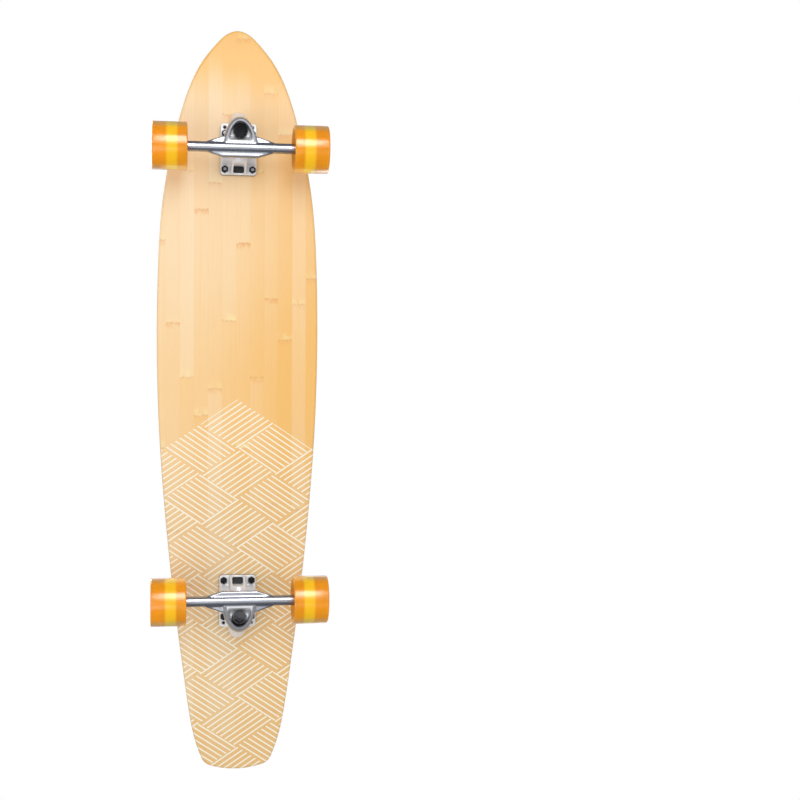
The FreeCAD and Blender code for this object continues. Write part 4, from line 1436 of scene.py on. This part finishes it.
@dataclass
class Studio:
    """Pale floor, white backdrop, soft lamps and the camera under the board."""
    floor_size: float = 9.0
    floor_cuts: int = 4
    floor_colour: Colour = srgb(250, 250, 250)
    floor_shade: Colour = srgb(244, 244, 244)
    floor_wear: float = 40.0
    floor_roughness: float = 0.9
    floor_specular: float = 0.1
    ambient: float = 0.62
    dark_band: Colour = (0.16, 0.17, 0.2)
    shade_band: Colour = (0.3, 0.31, 0.34)
    grey_band: Colour = (0.36, 0.38, 0.42)
    lamp_aim: Vector = Vector((0.0, 0.0, 0.08))
    camera_place: Vector = Vector((-0.0119, -0.1206, -2.1787))
    yaw: float = math.radians(-9.18)
    pitch: float = math.radians(-0.29)
    roll: float = math.radians(0.12)
    lens: float = 67.8

    def build_floor(self) -> None:
        """Lay the floor: pale from above, and seen through from below."""
        Bench.clear()
        bpy.ops.mesh.primitive_grid_add(x_subdivisions=self.floor_cuts, y_subdivisions=self.floor_cuts,
                                        size=self.floor_size)
        floor = bpy.context.object
        floor.name = "floor"
        floor.visible_shadow = False
        floor.visible_diffuse = False
        floor.visible_glossy = False
        floor.visible_transmission = False
        material, graph, shader = new_material("pale_floor")
        wear = graph.use(WEAR, Vector=graph.place(), Scale=self.floor_wear)
        tint = graph.mix(wear.outputs["Smudge"], self.floor_colour, self.floor_shade)
        graph.feed(shader.inputs["Base Color"], tint)
        set_plain(shader, Roughness=self.floor_roughness, Specular_IOR_Level=self.floor_specular)
        from_below = graph.node("ShaderNodeNewGeometry").outputs["Backfacing"]
        let_through(material, graph, shader, from_below, WHITE)
        floor.data.materials.append(material)

    def build_world(self) -> None:
        """White backdrop for the camera and clear pieces, bands for reflections, plain ambient light."""
        world = bpy.data.worlds.new("studio")
        bpy.context.scene.world = world
        world.use_nodes = True
        graph = Graph(world.node_tree)
        back = world.node_tree.nodes["Background"]
        rays = graph.node("ShaderNodeLightPath").outputs
        x, y, z = graph.parts(graph.node("ShaderNodeTexCoord").outputs["Generated"])
        bands = graph.ramp(graph.weighted(x, 0.5, 0.5), [
            (0.0, self.dark_band), (0.24, self.shade_band), (0.3, WHITE), (0.37, WHITE),
            (0.43, self.grey_band), (0.5, self.grey_band), (0.57, WHITE), (0.71, WHITE),
            (0.79, self.shade_band), (1.0, self.dark_band)])
        plain = graph.mix(rays["Is Glossy Ray"], (self.ambient,) * 3, bands)
        seen = graph.math("MAXIMUM", rays["Is Camera Ray"], rays["Is Transmission Ray"])
        graph.feed(back.inputs["Color"], graph.mix(seen, plain, WHITE))
        set_plain(back, Strength=1.0)

    def hang_lamps(self) -> None:
        """Hang key and shine below the nose side, a weaker fill, and a pair of lamps above."""
        for lamp in (
                Lamp("key_below", Vector((1.15, 0.12, -2.1)), width=0.9, length=1.6, power=15.0),
                Lamp("shine_below", Vector((1.35, 0.12, -2.1)), width=0.9, length=1.0, power=22.0,
                     shine_only=True),
                Lamp("fill_below", Vector((-0.7, -0.8, -1.9)), width=1.4, length=1.4, power=10.0),
                Lamp("key_above", Vector((0.9, -1.2, 2.2)), width=1.2, length=1.2, power=30.0),
                Lamp("fill_above", Vector((-1.3, 1.2, 1.7)), width=1.6, length=1.6, power=14.0)):
            lamp.hang(self.lamp_aim)

    def aim_camera(self) -> None:
        """Set the camera under the board, its picture's top towards the nose."""
        right = Vector((0.0, 1.0, 0.0))
        up = Vector((1.0, 0.0, 0.0))
        ahead = Vector((0.0, 0.0, 1.0))
        right, ahead = turned(right, ahead, self.yaw)
        up, ahead = turned(up, ahead, self.pitch)
        right, up = turned(right, up, self.roll)
        data = bpy.data.cameras.new("camera")
        data.lens = self.lens
        camera = add_to_scene("camera", data)
        turn = Matrix((right, up, -ahead)).transposed().to_4x4()
        camera.matrix_world = Matrix.Translation(self.camera_place) @ turn
        bpy.context.scene.camera = camera

    def build(self) -> None:
        """Set up the whole studio."""
        bpy.context.scene.view_settings.view_transform = "Standard"
        self.build_floor()
        self.build_world()
        self.hang_lamps()
        self.aim_camera()
        LOG.info("studio ready")


def main() -> None:
    """Build and dress every sub-assembly, then the studio."""
    logging.basicConfig(level=logging.INFO, format="%(name)s: %(message)s")
    finishes = Finishes()
    Deck().dress(finishes)
    low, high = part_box("front_left_tyre")
    mould = TyreMould(radius=(high.x - low.x) / 2, width=high.y - low.y).build()
    for end in End:
        truck = Truck(end)
        truck.dress(finishes, truck.build_castings(), truck.build_bushings())
        for side in Side:
            wheel = Wheel(end, side)
            wheel.dress(finishes, wheel.build_tread(mould))
    bpy.data.objects.remove(mould)
    Studio().build()


if __name__ == "__main__":
    main()
